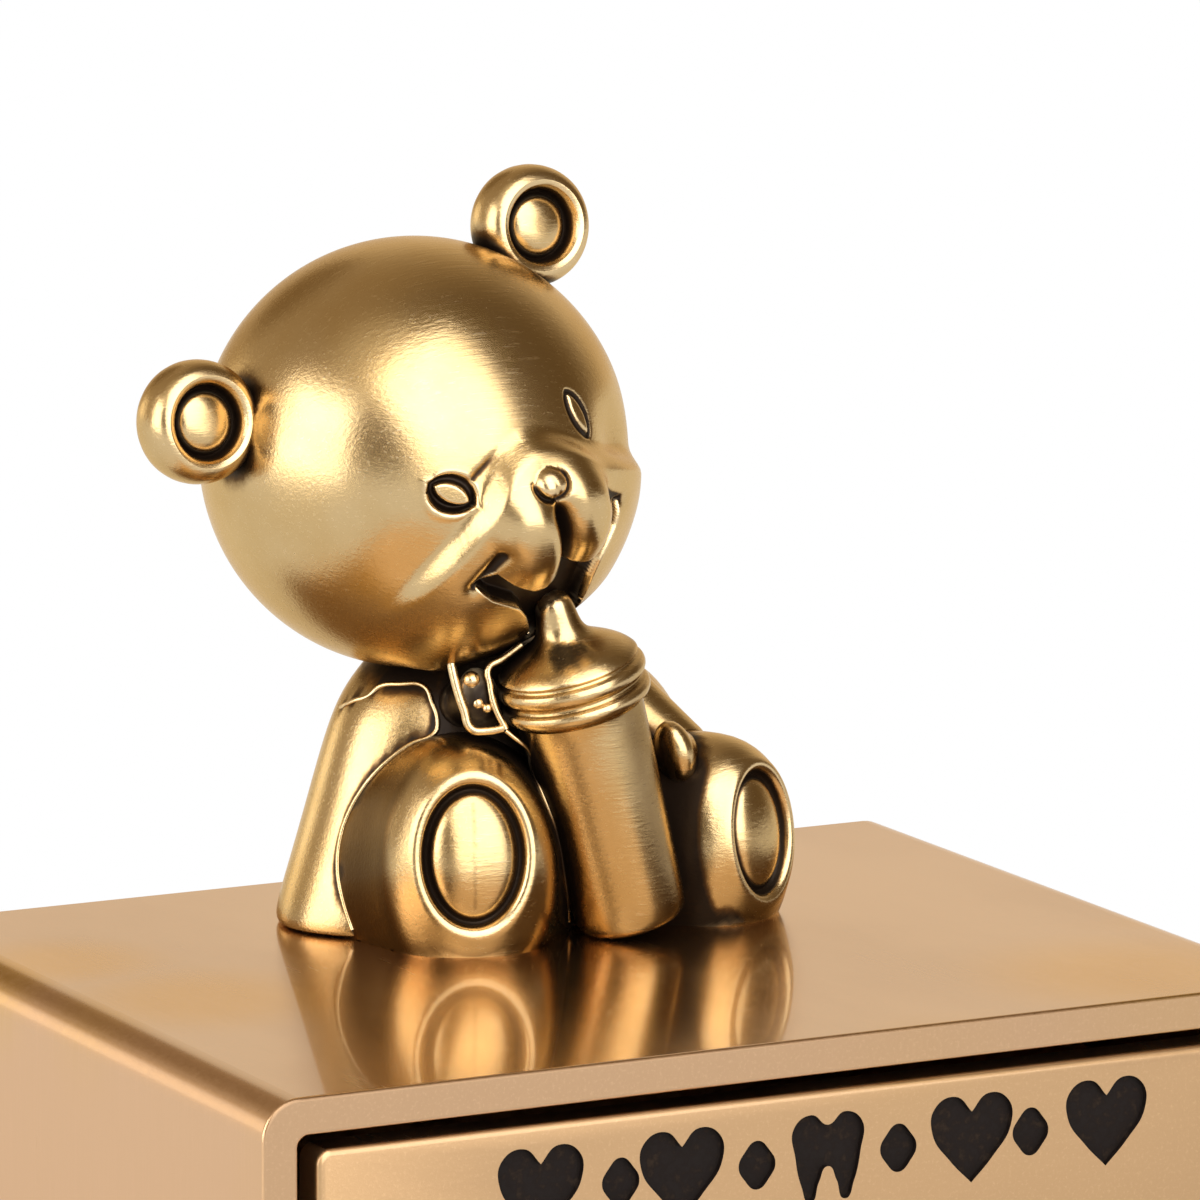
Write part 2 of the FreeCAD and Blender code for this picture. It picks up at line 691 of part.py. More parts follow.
def make_bottle(length):
    """Turned bottle along +Z: tapered body, collar with two grooves, dome and teat."""
    bottle = new_body("bottle_turned")
    profile = new_sketch(bottle, "bottle_profile", "XZ_Plane", "0")
    dome_top = "( bottle_body + collar_height + dome_height )"
    points = [("0", "0"), ("bottle_foot_radius", "0"), ("bottle_top_radius", "bottle_body"),
              ("collar_radius", "bottle_body")]
    for share in (1, 2):
        level = "bottle_body + collar_height * %d / 3" % share
        points += [("collar_radius", level + " - collar_groove / 2"),
                   ("collar_radius - collar_groove", level + " - collar_groove / 2"),
                   ("collar_radius - collar_groove", level + " + collar_groove / 2"),
                   ("collar_radius", level + " + collar_groove / 2")]
    points += [("collar_radius", "bottle_body + collar_height"),
               ("dome_radius", "bottle_body + collar_height"), ("teat_foot_radius", dome_top),
               ("teat_radius", dome_top), ("teat_radius", str(length)), ("0", str(length))]
    outline(profile, points)
    spin = bottle.newObject("PartDesign::Revolution", "bottle_turning")
    spin.Profile = profile
    spin.ReferenceAxis = (profile, ["V_Axis"])
    spin.Angle = 360
    doc.recompute()
    soften(bottle, "Fillet", "bottle_foot", "bottle_foot_round", flat_at(Z_AXIS, 0))
    soften(bottle, "Fillet", "teat_tip", "teat_round", flat_at(Z_AXIS, length))
    return bottle


def make_ear(side, place):
    """Round ear: a thick rim round a cup with a bead in it."""
    ear = new_body(side + "_ear_rim")
    disc = new_sketch(ear, side + "_ear_disc", "XZ_Plane", "ear_thick / 2")
    circles(disc, [("0", "0", "ear_radius")])
    pad(ear, disc, side + "_ear_pad", "ear_thick", reverse=True)
    half = size("ear_thick") / 2
    soften(ear, "Fillet", side + "_ear_edge", "ear_round",
           lambda e: flat_at(Y_AXIS, half)(e) or flat_at(Y_AXIS, -half)(e))
    cup = new_sketch(ear, side + "_ear_cup", "XZ_Plane", "ear_thick / 2")
    circles(cup, [("0", "0", "ear_cup_radius")])
    pocket(ear, cup, side + "_ear_hollow", "ear_cup_depth")
    soften(ear, "Fillet", side + "_ear_lip", "ear_cup_round", flat_at(Y_AXIS, -half))
    ear.Placement = place
    floor = place.multiply(at(0, size("ear_cup_depth") - half, 0))
    bead = solid("Ellipsoid", side + "_ear_bead", floor, Radius1="ear_bead_radius",
                 Radius2="ear_bead_radius", Radius3="ear_bead_rise")
    return joined(side + "_ear", [ear, bead])


def write(pieces):
    """Check every object of the document, then write each piece to its own file."""
    doc.recompute()
    for obj in doc.Objects:
        if "Invalid" in obj.State or "Error" in obj.State:
            raise RuntimeError("%s is %s" % (obj.Name, obj.State))
    for piece in pieces:
        shape = piece.Shape
        if shape.isNull() or not shape.isValid() or not shape.Solids:
            raise RuntimeError(piece.Label + " has no sound solid")
    os.makedirs("parts", exist_ok=True)
    for piece in pieces:
        piece.Shape.exportStep(os.path.join("parts", piece.Label + ".step"))
        print("%-16s %2d solid %9.2f mm3" % (piece.Label, len(piece.Shape.Solids),
                                             piece.Shape.Volume))


write(make_case() + make_drawer() + make_figure())
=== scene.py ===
"""Looks of a brass milk-tooth box with a seated bear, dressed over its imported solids."""
import logging
import math
from contextlib import contextmanager
from dataclasses import dataclass
from enum import Enum
from typing import Any, Callable, Dict, Iterator, List, Optional, Sequence, Tuple

import bpy
import numpy as np
from mathutils import Euler, Matrix, Vector
from mathutils.bvhtree import BVHTree


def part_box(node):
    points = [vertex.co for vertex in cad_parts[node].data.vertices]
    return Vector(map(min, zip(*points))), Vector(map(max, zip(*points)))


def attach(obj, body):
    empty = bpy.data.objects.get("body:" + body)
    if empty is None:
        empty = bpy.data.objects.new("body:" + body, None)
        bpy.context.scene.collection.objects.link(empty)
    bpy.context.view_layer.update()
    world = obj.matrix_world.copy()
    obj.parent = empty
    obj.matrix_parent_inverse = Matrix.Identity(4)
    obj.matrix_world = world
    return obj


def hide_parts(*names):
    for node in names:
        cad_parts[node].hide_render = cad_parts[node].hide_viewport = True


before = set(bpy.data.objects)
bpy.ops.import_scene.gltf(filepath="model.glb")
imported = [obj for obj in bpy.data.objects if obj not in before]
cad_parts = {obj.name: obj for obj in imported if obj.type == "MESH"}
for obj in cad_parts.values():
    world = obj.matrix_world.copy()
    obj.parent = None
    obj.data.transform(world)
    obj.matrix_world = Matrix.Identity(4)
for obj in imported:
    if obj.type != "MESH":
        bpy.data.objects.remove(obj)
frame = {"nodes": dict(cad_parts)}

LOG = logging.getLogger("tooth_box")
MM = 0.001
Colour = Tuple[float, float, float]
Triple = Tuple[float, float, float]
Pair = Tuple[float, float]


class Body(Enum):
    """The two bodies that pieces ride on."""

    CASE = "case"
    DRAWER = "drawer"


class Slot(Enum):
    """Material slots of the record."""

    BRASS = "antique_brass"
    VELVET = "velvet"
    FELT = "felt"


class Lay(Enum):
    """Which way the brushing of a metal face runs."""

    ALONG_X = "x"
    ALONG_Z = "z"


# Modelling helpers


def deselect() -> None:
    """Leave nothing selected, so that an operator acts only on what is chosen next."""
    if bpy.context.object and bpy.context.object.mode != "OBJECT":
        bpy.ops.object.mode_set(mode="OBJECT")
    bpy.ops.object.select_all(action="DESELECT")


def choose(*objects: bpy.types.Object) -> bpy.types.Object:
    """Select some objects and make the first one active.

    Args:
        objects: What the next operator acts on.

    Returns:
        The active object.
    """
    deselect()
    for obj in objects:
        obj.select_set(True)
    bpy.context.view_layer.objects.active = objects[0]
    return objects[0]


def named(name: str) -> bpy.types.Object:
    """Name the object that an operator has just made."""
    bpy.context.object.name = name
    return bpy.context.object


def put_in_scene(name: str, data: Any) -> bpy.types.Object:
    """Make an object of a curve, a lamp or a camera and add it to the scene.

    Args:
        name: Name of the new object.
        data: The curve, lamp or camera.

    Returns:
        The object.
    """
    obj = bpy.data.objects.new(name, data)
    bpy.context.scene.collection.objects.link(obj)
    return obj


@contextmanager
def editing(obj: bpy.types.Object, whole: bool = True) -> Iterator[None]:
    """Work on one piece in edit mode.

    Args:
        obj: The piece.
        whole: Whether all of it is selected first.
    """
    choose(obj)
    bpy.ops.object.mode_set(mode="EDIT")
    if whole:
        bpy.ops.mesh.select_all(action="SELECT")
    yield
    bpy.ops.object.mode_set(mode="OBJECT")


def pick(obj: bpy.types.Object, kind: str, chosen: Sequence[bool]) -> None:
    """Select some faces or edges of a piece, and nothing else.

    Args:
        obj: The piece.
        kind: FACE or EDGE.
        chosen: True or false for each of them.
    """
    with editing(obj, whole=False):
        bpy.ops.mesh.select_mode(type=kind)
        bpy.ops.mesh.select_all(action="DESELECT")
    parts = obj.data.polygons if kind == "FACE" else obj.data.edges
    parts.foreach_set("select", chosen)


def spin(degrees: float, axis: str) -> Matrix:
    """Turn about one axis."""
    return Matrix.Rotation(math.radians(degrees), 4, axis)


def at(place: Sequence[float]) -> Matrix:
    """Shift to a place in millimetres."""
    return Matrix.Translation(Vector(place) * MM)


def shape(obj: bpy.types.Object, kind: str, **settings: Any) -> None:
    """Add a modifier and apply it.

    Args:
        obj: The piece that it shapes.
        kind: Blender's name of the modifier type.
        settings: Properties of the modifier.
    """
    choose(obj)
    modifier = obj.modifiers.new(kind.lower(), kind)
    for name, value in settings.items():
        setattr(modifier, name, value)
    bpy.ops.object.modifier_apply(modifier=modifier.name)


def subdivide(obj: bpy.types.Object, levels: int) -> None:
    """Round a cage with a subdivision surface."""
    shape(obj, "SUBSURF", levels=levels, render_levels=levels, use_limit_surface=False)


def settle(obj: bpy.types.Object, place: Matrix) -> None:
    """Move a piece to its place and put that place in its mesh.

    Args:
        obj: A piece modelled in its own frame, in metres.
        place: Matrix from that frame to the part's frame.
    """
    choose(obj)
    obj.matrix_world = place
    bpy.ops.object.transform_apply(location=True, rotation=True, scale=True)


def tidy(obj: bpy.types.Object, angle: float = 40.0) -> None:
    """Merge doubles, turn faces outwards and smooth all but sharp edges.

    Args:
        obj: The piece.
        angle: Edges sharper than this, in degrees, stay sharp.
    """
    with editing(obj):
        bpy.ops.mesh.remove_doubles(threshold=1e-6)
        bpy.ops.mesh.normals_make_consistent(inside=False)
    bpy.ops.object.shade_smooth_by_angle(angle=math.radians(angle))


def merge(name: str, pieces: Sequence[bpy.types.Object]) -> bpy.types.Object:
    """Join several objects into one mesh.

    Args:
        name: Name of the result.
        pieces: The objects.

    Returns:
        The joined object.
    """
    choose(*pieces)
    bpy.ops.object.join()
    return named(name)


def combine(obj: bpy.types.Object, tool: bpy.types.Object, operation: str) -> None:
    """Add or take away a closed tool shape, then remove the tool.

    Args:
        obj: The piece that is changed.
        tool: The closed shape.
        operation: UNION or DIFFERENCE.
    """
    shape(obj, "BOOLEAN", operation=operation, solver="EXACT", object=tool, material_mode="TRANSFER")
    bpy.data.objects.remove(tool, do_unlink=True)


@dataclass(frozen=True)
class Ring:
    """One elliptic section across a form's axis, in millimetres.

    Args:
        z: Level along the axis.
        wide: Half size along x.
        deep: Half size along y.
        x: Offset of the centre along x.
        y: Offset of the centre along y.
    """

    z: float
    wide: float
    deep: float
    x: float = 0.0
    y: float = 0.0


def loft(name: str, rings: Sequence[Ring], sides: int = 96) -> bpy.types.Object:
    """Extrude a disc through elliptic sections along +Z.

    Args:
        name: Name of the new object.
        rings: Sections in order.
        sides: Corners of each section.

    Returns:
        A closed cage in its own frame, at the origin.
    """
    deselect()
    bpy.ops.mesh.primitive_circle_add(vertices=sides, radius=MM, fill_type="NGON",
                                      location=(0, 0, 0))
    obj = named(name)
    before = rings[0]
    with editing(obj):
        bpy.ops.transform.resize(value=(before.wide, before.deep, 1), center_override=(0, 0, 0))
        bpy.ops.transform.translate(value=(before.x * MM, before.y * MM, before.z * MM))
        for ring in rings[1:]:
            move = ((ring.x - before.x) * MM, (ring.y - before.y) * MM, (ring.z - before.z) * MM)
            bpy.ops.mesh.extrude_region_move(TRANSFORM_OT_translate={"value": move})
            bpy.ops.transform.resize(value=(ring.wide / before.wide, ring.deep / before.deep, 1),
                                     center_override=(ring.x * MM, ring.y * MM, ring.z * MM))
            before = ring
    return obj


def turned(name: str, profile: Sequence[Pair], sides: int) -> bpy.types.Object:
    """A round form turned about +Z from pairs of a level and a radius, in millimetres.

    Args:
        name: Name of the new object.
        profile: The pairs, from one end to the other.
        sides: Corners of each section.

    Returns:
        The closed form.
    """
    obj = loft(name, [Ring(z, r, r) for z, r in profile], sides)
    tidy(obj)
    subdivide(obj, 1)
    return obj


def ball(name: str, centre: Triple, radii: Triple, turn: Triple = (0, 0, 0),
         segments: int = 64) -> bpy.types.Object:
    """An ellipsoid as a start for a blended form.

    Args:
        name: Name of the new object.
        centre: Its centre in millimetres.
        radii: Its half sizes in millimetres.
        turn: Euler angles in degrees.
        segments: Fineness.

    Returns:
        The ellipsoid with its place in its mesh.
    """
    deselect()
    bpy.ops.mesh.primitive_uv_sphere_add(segments=segments, ring_count=segments // 2, radius=1)
    obj = named(name)
    lean = Euler([math.radians(a) for a in turn]).to_matrix().to_4x4()
    stretch = Matrix.Diagonal((radii[0] * MM, radii[1] * MM, radii[2] * MM, 1))
    settle(obj, at(centre) @ lean @ stretch)
    return obj


def rod(name: str, start: Triple, end: Triple, thick: float, thin: float) -> bpy.types.Object:
    """A tapered round bar between two points, in millimetres.

    Args:
        name: Name of the new object.
        start: Middle of one end.
        end: Middle of the other end.
        thick: Radius at the start.
        thin: Radius at the end.

    Returns:
        The bar with its place in its mesh.
    """
    deselect()
    a, b = Vector(start) * MM, Vector(end) * MM
    bpy.ops.mesh.primitive_cone_add(vertices=48, radius1=thick * MM, radius2=thin * MM,
                                    depth=(b - a).length)
    obj = named(name)
    settle(obj, Matrix.Translation((a + b) / 2) @ (b - a).to_track_quat("Z", "Y").to_matrix().to_4x4())
    return obj


def fuse(name: str, pieces: Sequence[bpy.types.Object], voxel: float, passes: int) -> bpy.types.Object:
    """Cast several lumps into one skin with soft hollows between them.

    Args:
        name: Name of the result.
        pieces: Overlapping closed shapes.
        voxel: Fineness of the skin in millimetres.
        passes: Smoothing passes, which set how far the lumps flow together.

    Returns:
        The skin.
    """
    obj = merge(name, pieces)
    shape(obj, "REMESH", mode="VOXEL", voxel_size=voxel * MM, use_smooth_shade=True)
    shape(obj, "SMOOTH", factor=0.5, iterations=passes)
    return obj


def bent(name: str, points: Sequence[Sequence[float]], handles: Sequence[str], closed: bool,
         **settings: Any) -> bpy.types.Object:
    """A mesh from a smooth curve.

    Args:
        name: Name of the new object.
        points: Points of the curve in millimetres.
        handles: Blender's kind of handle at each point.
        closed: Whether the last point joins the first.
        settings: Properties of the curve, such as its thickness.

    Returns:
        The mesh, in the frame of the points.
    """
    curve = bpy.data.curves.new(name, "CURVE")
    for field, value in settings.items():
        setattr(curve, field, value)
    spline = curve.splines.new("BEZIER")
    spline.bezier_points.add(len(points) - 1)
    for point, place, handle in zip(spline.bezier_points, points, handles):
        point.co = Vector(place) * MM
        point.handle_left_type = point.handle_right_type = handle
    spline.use_cyclic_u = closed
    choose(put_in_scene(name, curve))
    bpy.ops.object.convert(target="MESH")
    return bpy.context.object


def triples(parts: Any, field: str) -> np.ndarray:
    """Three numbers of each vertex or face of a mesh, such as places or normals.

    Args:
        parts: The vertices or faces.
        field: Blender's name of the three numbers.

    Returns:
        An array with a row for each part.
    """
    flat = np.empty(len(parts) * 3)
    parts.foreach_get(field, flat)
    return flat.reshape(-1, 3)


def points_of(obj: bpy.types.Object) -> np.ndarray:
    """Vertex places of a mesh, in millimetres."""
    return triples(obj.data.vertices, "co") / MM


def normals_of(obj: bpy.types.Object) -> np.ndarray:
    """Vertex normals of a mesh."""
    return triples(obj.data.vertices, "normal")


def edge_ends(obj: bpy.types.Object) -> Tuple[np.ndarray, np.ndarray]:
    """Numbers of the vertices at the two ends of each edge.

    Args:
        obj: The piece.

    Returns:
        The first ends and the second ends.
    """
    ends = np.empty(len(obj.data.edges) * 2, dtype=np.int64)
    obj.data.edges.foreach_get("vertices", ends)
    return ends[0::2], ends[1::2]


def seen_from(own: Matrix, places: np.ndarray) -> np.ndarray:
    """Places of the part's frame as they are in a frame of its own, both in millimetres."""
    back = np.array(own.inverted())
    return places @ back[:3, :3].T + back[:3, 3] / MM


def put_points(obj: bpy.types.Object, places: np.ndarray) -> None:
    """Write vertex places, given in millimetres, back to a mesh."""
    obj.data.vertices.foreach_set("co", (places * MM).ravel())
    obj.data.update()


def refine(obj: bpy.types.Object, near: Callable[[np.ndarray], np.ndarray]) -> None:
    """Subdivide the faces whose middles lie in a region.

    Args:
        obj: The piece.
        near: Test on an array of places in millimetres, giving a true-or-false array.
    """
    pick(obj, "FACE", near(triples(obj.data.polygons, "center") / MM))
    with editing(obj, whole=False):
        bpy.ops.mesh.subdivide(number_cuts=1, smoothness=0.0)
        bpy.ops.mesh.select_mode(type="VERT")


def from_path(places: np.ndarray, path: Sequence[Sequence[float]]) -> np.ndarray:
    """Distance of each place from a bent line, both in millimetres.

    Args:
        places: Rows of two or three coordinates.
        path: Points of the line.

    Returns:
        A distance for each place.
    """
    best = np.full(len(places), 1e9)
    line = np.asarray(path, float)
    for a, b in zip(line[:-1], line[1:]):
        span = b - a
        share = np.clip((places - a) @ span / (span @ span), 0, 1)
        best = np.minimum(best, np.linalg.norm(places - a - share[:, None] * span, axis=1))
    return best


def beside(places: np.ndarray, path: Sequence[Sequence[float]], wide: float,
           power: float = 2.0) -> np.ndarray:
    """Share that is 1 on a bent line and falls off beside it."""
    return np.exp(-(from_path(places, path) / wide) ** power)


def ease(value: np.ndarray, low: float, high: float) -> np.ndarray:
    """Smooth step from 0 at the low value to 1 at the high one."""
    share = np.clip((value - low) / (high - low), 0, 1)
    return share * share * (3 - 2 * share)


def smooth_line(across: np.ndarray, points: Sequence[Pair]) -> np.ndarray:
    """Level of a bent line at each place across, with its corners rounded.

    Args:
        across: Places across, on both sides of the middle.
        points: Corners of the line on one side, as pairs of across and level.

    Returns:
        The level at each place.
    """
    x, y = zip(*points)
    steps = (-0.8, -0.4, 0.0, 0.4, 0.8)
    return sum(np.interp(np.abs(across + step), x, y) for step in steps) / len(steps)


def hump(a: np.ndarray, b: np.ndarray, power: float) -> np.ndarray:
    """A round hill of height 1 that falls off at a distance of 1."""
    return np.exp(-(a * a + b * b) ** power)


def quad_ball(name: str, radius: float, cuts: int) -> bpy.types.Object:
    """A ball of even four-sided faces, from a cube that is divided and rounded.

    Args:
        name: Name of the new object.
        radius: Radius in millimetres.
        cuts: Divisions of each edge of the cube.

    Returns:
        The ball at the origin.
    """
    deselect()
    bpy.ops.mesh.primitive_cube_add(size=2)
    obj = named(name)
    with editing(obj):
        bpy.ops.mesh.subdivide(number_cuts=cuts)
    places = np.tan(points_of(obj) * MM * math.pi / 4)
    put_points(obj, places / np.linalg.norm(places, axis=1)[:, None] * radius)
    return obj


# Finishes


class Wiring:
    """Short way to add and wire the nodes of a material or of the world."""

    def __init__(self, owner: Any) -> None:
        """Start with an empty node tree.

        Args:
            owner: The material or world.
        """
        self.owner = owner
        owner.use_nodes = True
        self.tree = owner.node_tree
        self.tree.nodes.clear()

    def add(self, kind: str, settings: Optional[Dict[str, Any]] = None, **inputs: Any) -> Any:
        """Add a node.

        Args:
            kind: Blender's node type.
            settings: Properties of the node.
            inputs: Values or sockets for its inputs, with _ for a blank in a name.

        Returns:
            The node.
        """
        node = self.tree.nodes.new(kind)
        for name, value in (settings or {}).items():
            setattr(node, name, value)
        for name, value in inputs.items():
            self.feed(node.inputs[name.replace("_", " ")], value)
        return node

    def feed(self, socket: Any, value: Any) -> None:
        """Set a socket, or link it when the value is a socket itself.

        Args:
            socket: Input of a node.
            value: What it gets.
        """
        if isinstance(value, bpy.types.NodeSocket):
            self.tree.links.new(value, socket)
        else:
            socket.default_value = value

    def sum(self, operation: str, a: Any, b: Any = 0.0, clamp: bool = False) -> Any:
        """One step of arithmetic on numbers or sockets.

        Args:
            operation: Blender's name of the step.
            a: First number.
            b: Second number.
            clamp: Whether the result is kept between 0 and 1.

        Returns:
            The result's socket.
        """
        node = self.tree.nodes.new("ShaderNodeMath")
        node.operation = operation
        node.use_clamp = clamp
        self.feed(node.inputs[0], a)
        self.feed(node.inputs[1], b)
        return node.outputs[0]

    def more(self, value: Any, extra: Any, share: Any, clamp: bool = False) -> Any:
        """A number plus a share of another one."""
        return self.sum("ADD", value, self.sum("MULTIPLY", extra, share), clamp)

    def vary(self, value: Any, noise: Any, swing: Any) -> Any:
        """A number that noise moves to both sides."""
        return self.more(value, self.sum("SUBTRACT", noise, 0.5), swing)

    def between(self, share: Any, a: Any, b: Any, clamp: bool = False) -> Any:
        """A number that goes from one to another with a share."""
        return self.more(self.sum("MULTIPLY", share, b), self.sum("SUBTRACT", 1.0, share), a, clamp)

    def span(self, value: Any, low: float, high: float, to_low: float = 0.0,
             to_high: float = 1.0) -> Any:
        """Smooth step of a value from one range to another.

        Args:
            value: The value's socket.
            low: Start of its range.
            high: End of its range.
            to_low: Result at the start.
            to_high: Result at the end.

        Returns:
            The result's socket.
        """
        node = self.add("ShaderNodeMapRange", {"interpolation_type": "SMOOTHSTEP"}, Value=value,
                        From_Min=low, From_Max=high, To_Min=to_low, To_Max=to_high)
        return node.outputs["Result"]

    def blend(self, share: Any, a: Any, b: Any) -> Any:
        """Mix two colours, each a colour or a socket.

        Args:
            share: How much there is of the second colour.
            a: First colour.
            b: Second colour.

        Returns:
            The mixed colour's socket.
        """
        node = self.tree.nodes.new("ShaderNodeMix")
        node.data_type = "RGBA"
        self.feed(node.inputs["Factor"], share)
        for socket, value in ((node.inputs[6], a), (node.inputs[7], b)):
            self.feed(socket, value if isinstance(value, bpy.types.NodeSocket) else (*value, 1.0))
        return node.outputs[2]

    def places(self) -> Any:
        """Object coordinates, in metres."""
        return self.add("ShaderNodeTexCoord").outputs["Object"]

    def noise(self, where: Any, scale: Triple, turn: Triple = (0, 0, 0), detail: float = 2.0,
              roughness: float = 0.5) -> Any:
        """Noise stretched by a scale along each axis, in waves per metre.

        Args:
            where: Coordinates.
            scale: Waves per metre along x, y and z.
            turn: Euler angles in degrees.
            detail: Number of finer layers.
            roughness: Strength of the finer layers.

        Returns:
            The noise value, from 0 to 1.
        """
        laid = self.add("ShaderNodeMapping", Vector=where, Scale=scale,
                        Rotation=[math.radians(a) for a in turn])
        node = self.add("ShaderNodeTexNoise", {"noise_dimensions": "3D"},
                        Vector=laid.outputs[0], Scale=1.0, Detail=detail, Roughness=roughness)
        return node.outputs[0]

    def measure(self, operation: str, a: Any, b: Any = (0, 0, 0)) -> Any:
        """A number that is worked out from one or two vectors.

        Args:
            operation: Blender's name of the step.
            a: First vector.
            b: Second vector.

        Returns:
            The number's socket.
        """
        node = self.add("ShaderNodeVectorMath", {"operation": operation})
        self.feed(node.inputs[0], a)
        self.feed(node.inputs[1], b)
        return node.outputs["Value"]

    def bump(self, height: Any, strength: float, distance: float) -> Any:
        """Normal of a surface that is raised by a height, over a distance in millimetres."""
        node = self.add("ShaderNodeBump", None, Strength=strength, Distance=distance * MM, Height=height)
        return node.outputs[0]

    def close(self, **inputs: Any) -> Any:
        """Finish a material with one shader.

        Args:
            inputs: Values or sockets for the shader's inputs, with _ for a blank in a name.

        Returns:
            The material.
        """
        shader = self.add("ShaderNodeBsdfPrincipled", None, **inputs)
        self.add("ShaderNodeOutputMaterial", None, Surface=shader.outputs[0])
        return self.owner


def new_material(name: str) -> Wiring:
    """Wiring of a new, empty material."""
    return Wiring(bpy.data.materials.new(name))


@dataclass(frozen=True)
class FigureBrass:
    """Antique plating on the castings: golden heights, dark patina in the hollows, and painted shade
    between the parts and on their shaded sides.

    Args:
        name: Name of the material.
        gold: Colour of the rubbed surface.
        tarnish_and_shade: Colour of the tarnish near hollows, also used for the painted shade.
        black: Colour of the black patina, also used for the deepest painted shade.
        scratched: Colour of the fine rubbing strokes.
        bared: Colour of edges that are rubbed bright.
        roughness: Gloss of the rubbed surface.
        stroke: Turn of the rubbing strokes, in degrees.
    """

    name: str
    gold: Colour = (0.61, 0.44, 0.22)
    tarnish_and_shade: Colour = (0.13, 0.066, 0.024)
    black: Colour = (0.016, 0.009, 0.006)
    scratched: Colour = (0.80, 0.59, 0.34)
    bared: Colour = (0.88, 0.68, 0.42)
    roughness: float = 0.24
    stroke: Triple = (0, 0, 0)

    def make(self) -> bpy.types.Material:
        """Build the material, which reads the mesh's grime, shade and rim attributes: the first two hold
        patina and painted shade.

        Returns:
            The new material.
        """
        w = new_material(self.name)
        where = w.places()
        grime, shade, rim = (w.add("ShaderNodeAttribute", {"attribute_name": name}).outputs["Fac"]
                             for name in ("grime", "shade", "rim"))
        cloud = w.noise(where, (260, 260, 260), detail=4.0)
        speck = w.noise(where, (2600, 2600, 2600), detail=3.0, roughness=0.7)
        strokes = w.noise(where, (220, 5200, 5200), self.stroke, detail=4.0, roughness=0.65)
        cross = w.noise(where, (4200, 260, 4200), self.stroke, detail=3.0, roughness=0.6)
        scratch = w.sum("MAXIMUM", w.span(strokes, 0.56, 0.72), w.span(cross, 0.62, 0.76, 0, 0.6))
        uneven = w.vary(w.vary(grime, speck, 0.16), cloud, 0.16)
        # The patina attribute here also carries the painted shade that is given for some pieces.
        worn = w.more(uneven, rim, -0.55)
        # Painted shade: the shade attribute darkens the metal towards the tarnish colour, and where it is
        # deepest towards black.
        shaded = w.more(w.vary(shade, cloud, 0.25), rim, -0.4)
        stain = w.sum("MAXIMUM", w.span(worn, 0.10, 0.36), w.span(shaded, 0.15, 0.80, 0.0, 0.95))
        crust_and_shade = w.span(worn, 0.24, 0.48)
        soot_and_shade = w.sum("MAXIMUM", crust_and_shade, w.span(shaded, 0.65, 1.0, 0.0, 0.45))
        deep_gold = tuple(c * k for c, k in zip(self.gold, (0.93, 0.89, 0.80)))
        tone = w.blend(w.span(cloud, 0.3, 0.7), self.gold, deep_gold)
        tone = w.blend(w.sum("MULTIPLY", scratch, 0.34), tone, self.scratched)
        tone = w.blend(stain, tone, self.tarnish_and_shade)
        tone = w.blend(soot_and_shade, tone, self.black)
        tone = w.blend(w.sum("MULTIPLY", rim, 0.5), tone, self.bared)
        rough = w.vary(w.more(self.roughness, scratch, 0.07), cloud, 0.10)
        rough = w.more(rough, soot_and_shade, 0.22, clamp=True)
        height = w.more(w.sum("MULTIPLY", strokes, 0.6), speck, 0.1)
        return w.close(Base_Color=tone, Metallic=w.more(1.0, crust_and_shade, -0.3), Roughness=rough,
                       Normal=w.bump(height, 0.65, 0.04), Specular_Tint=(0.95, 0.80, 0.58, 1.0),
                       Coat_Weight=0.06, Coat_Roughness=0.14)


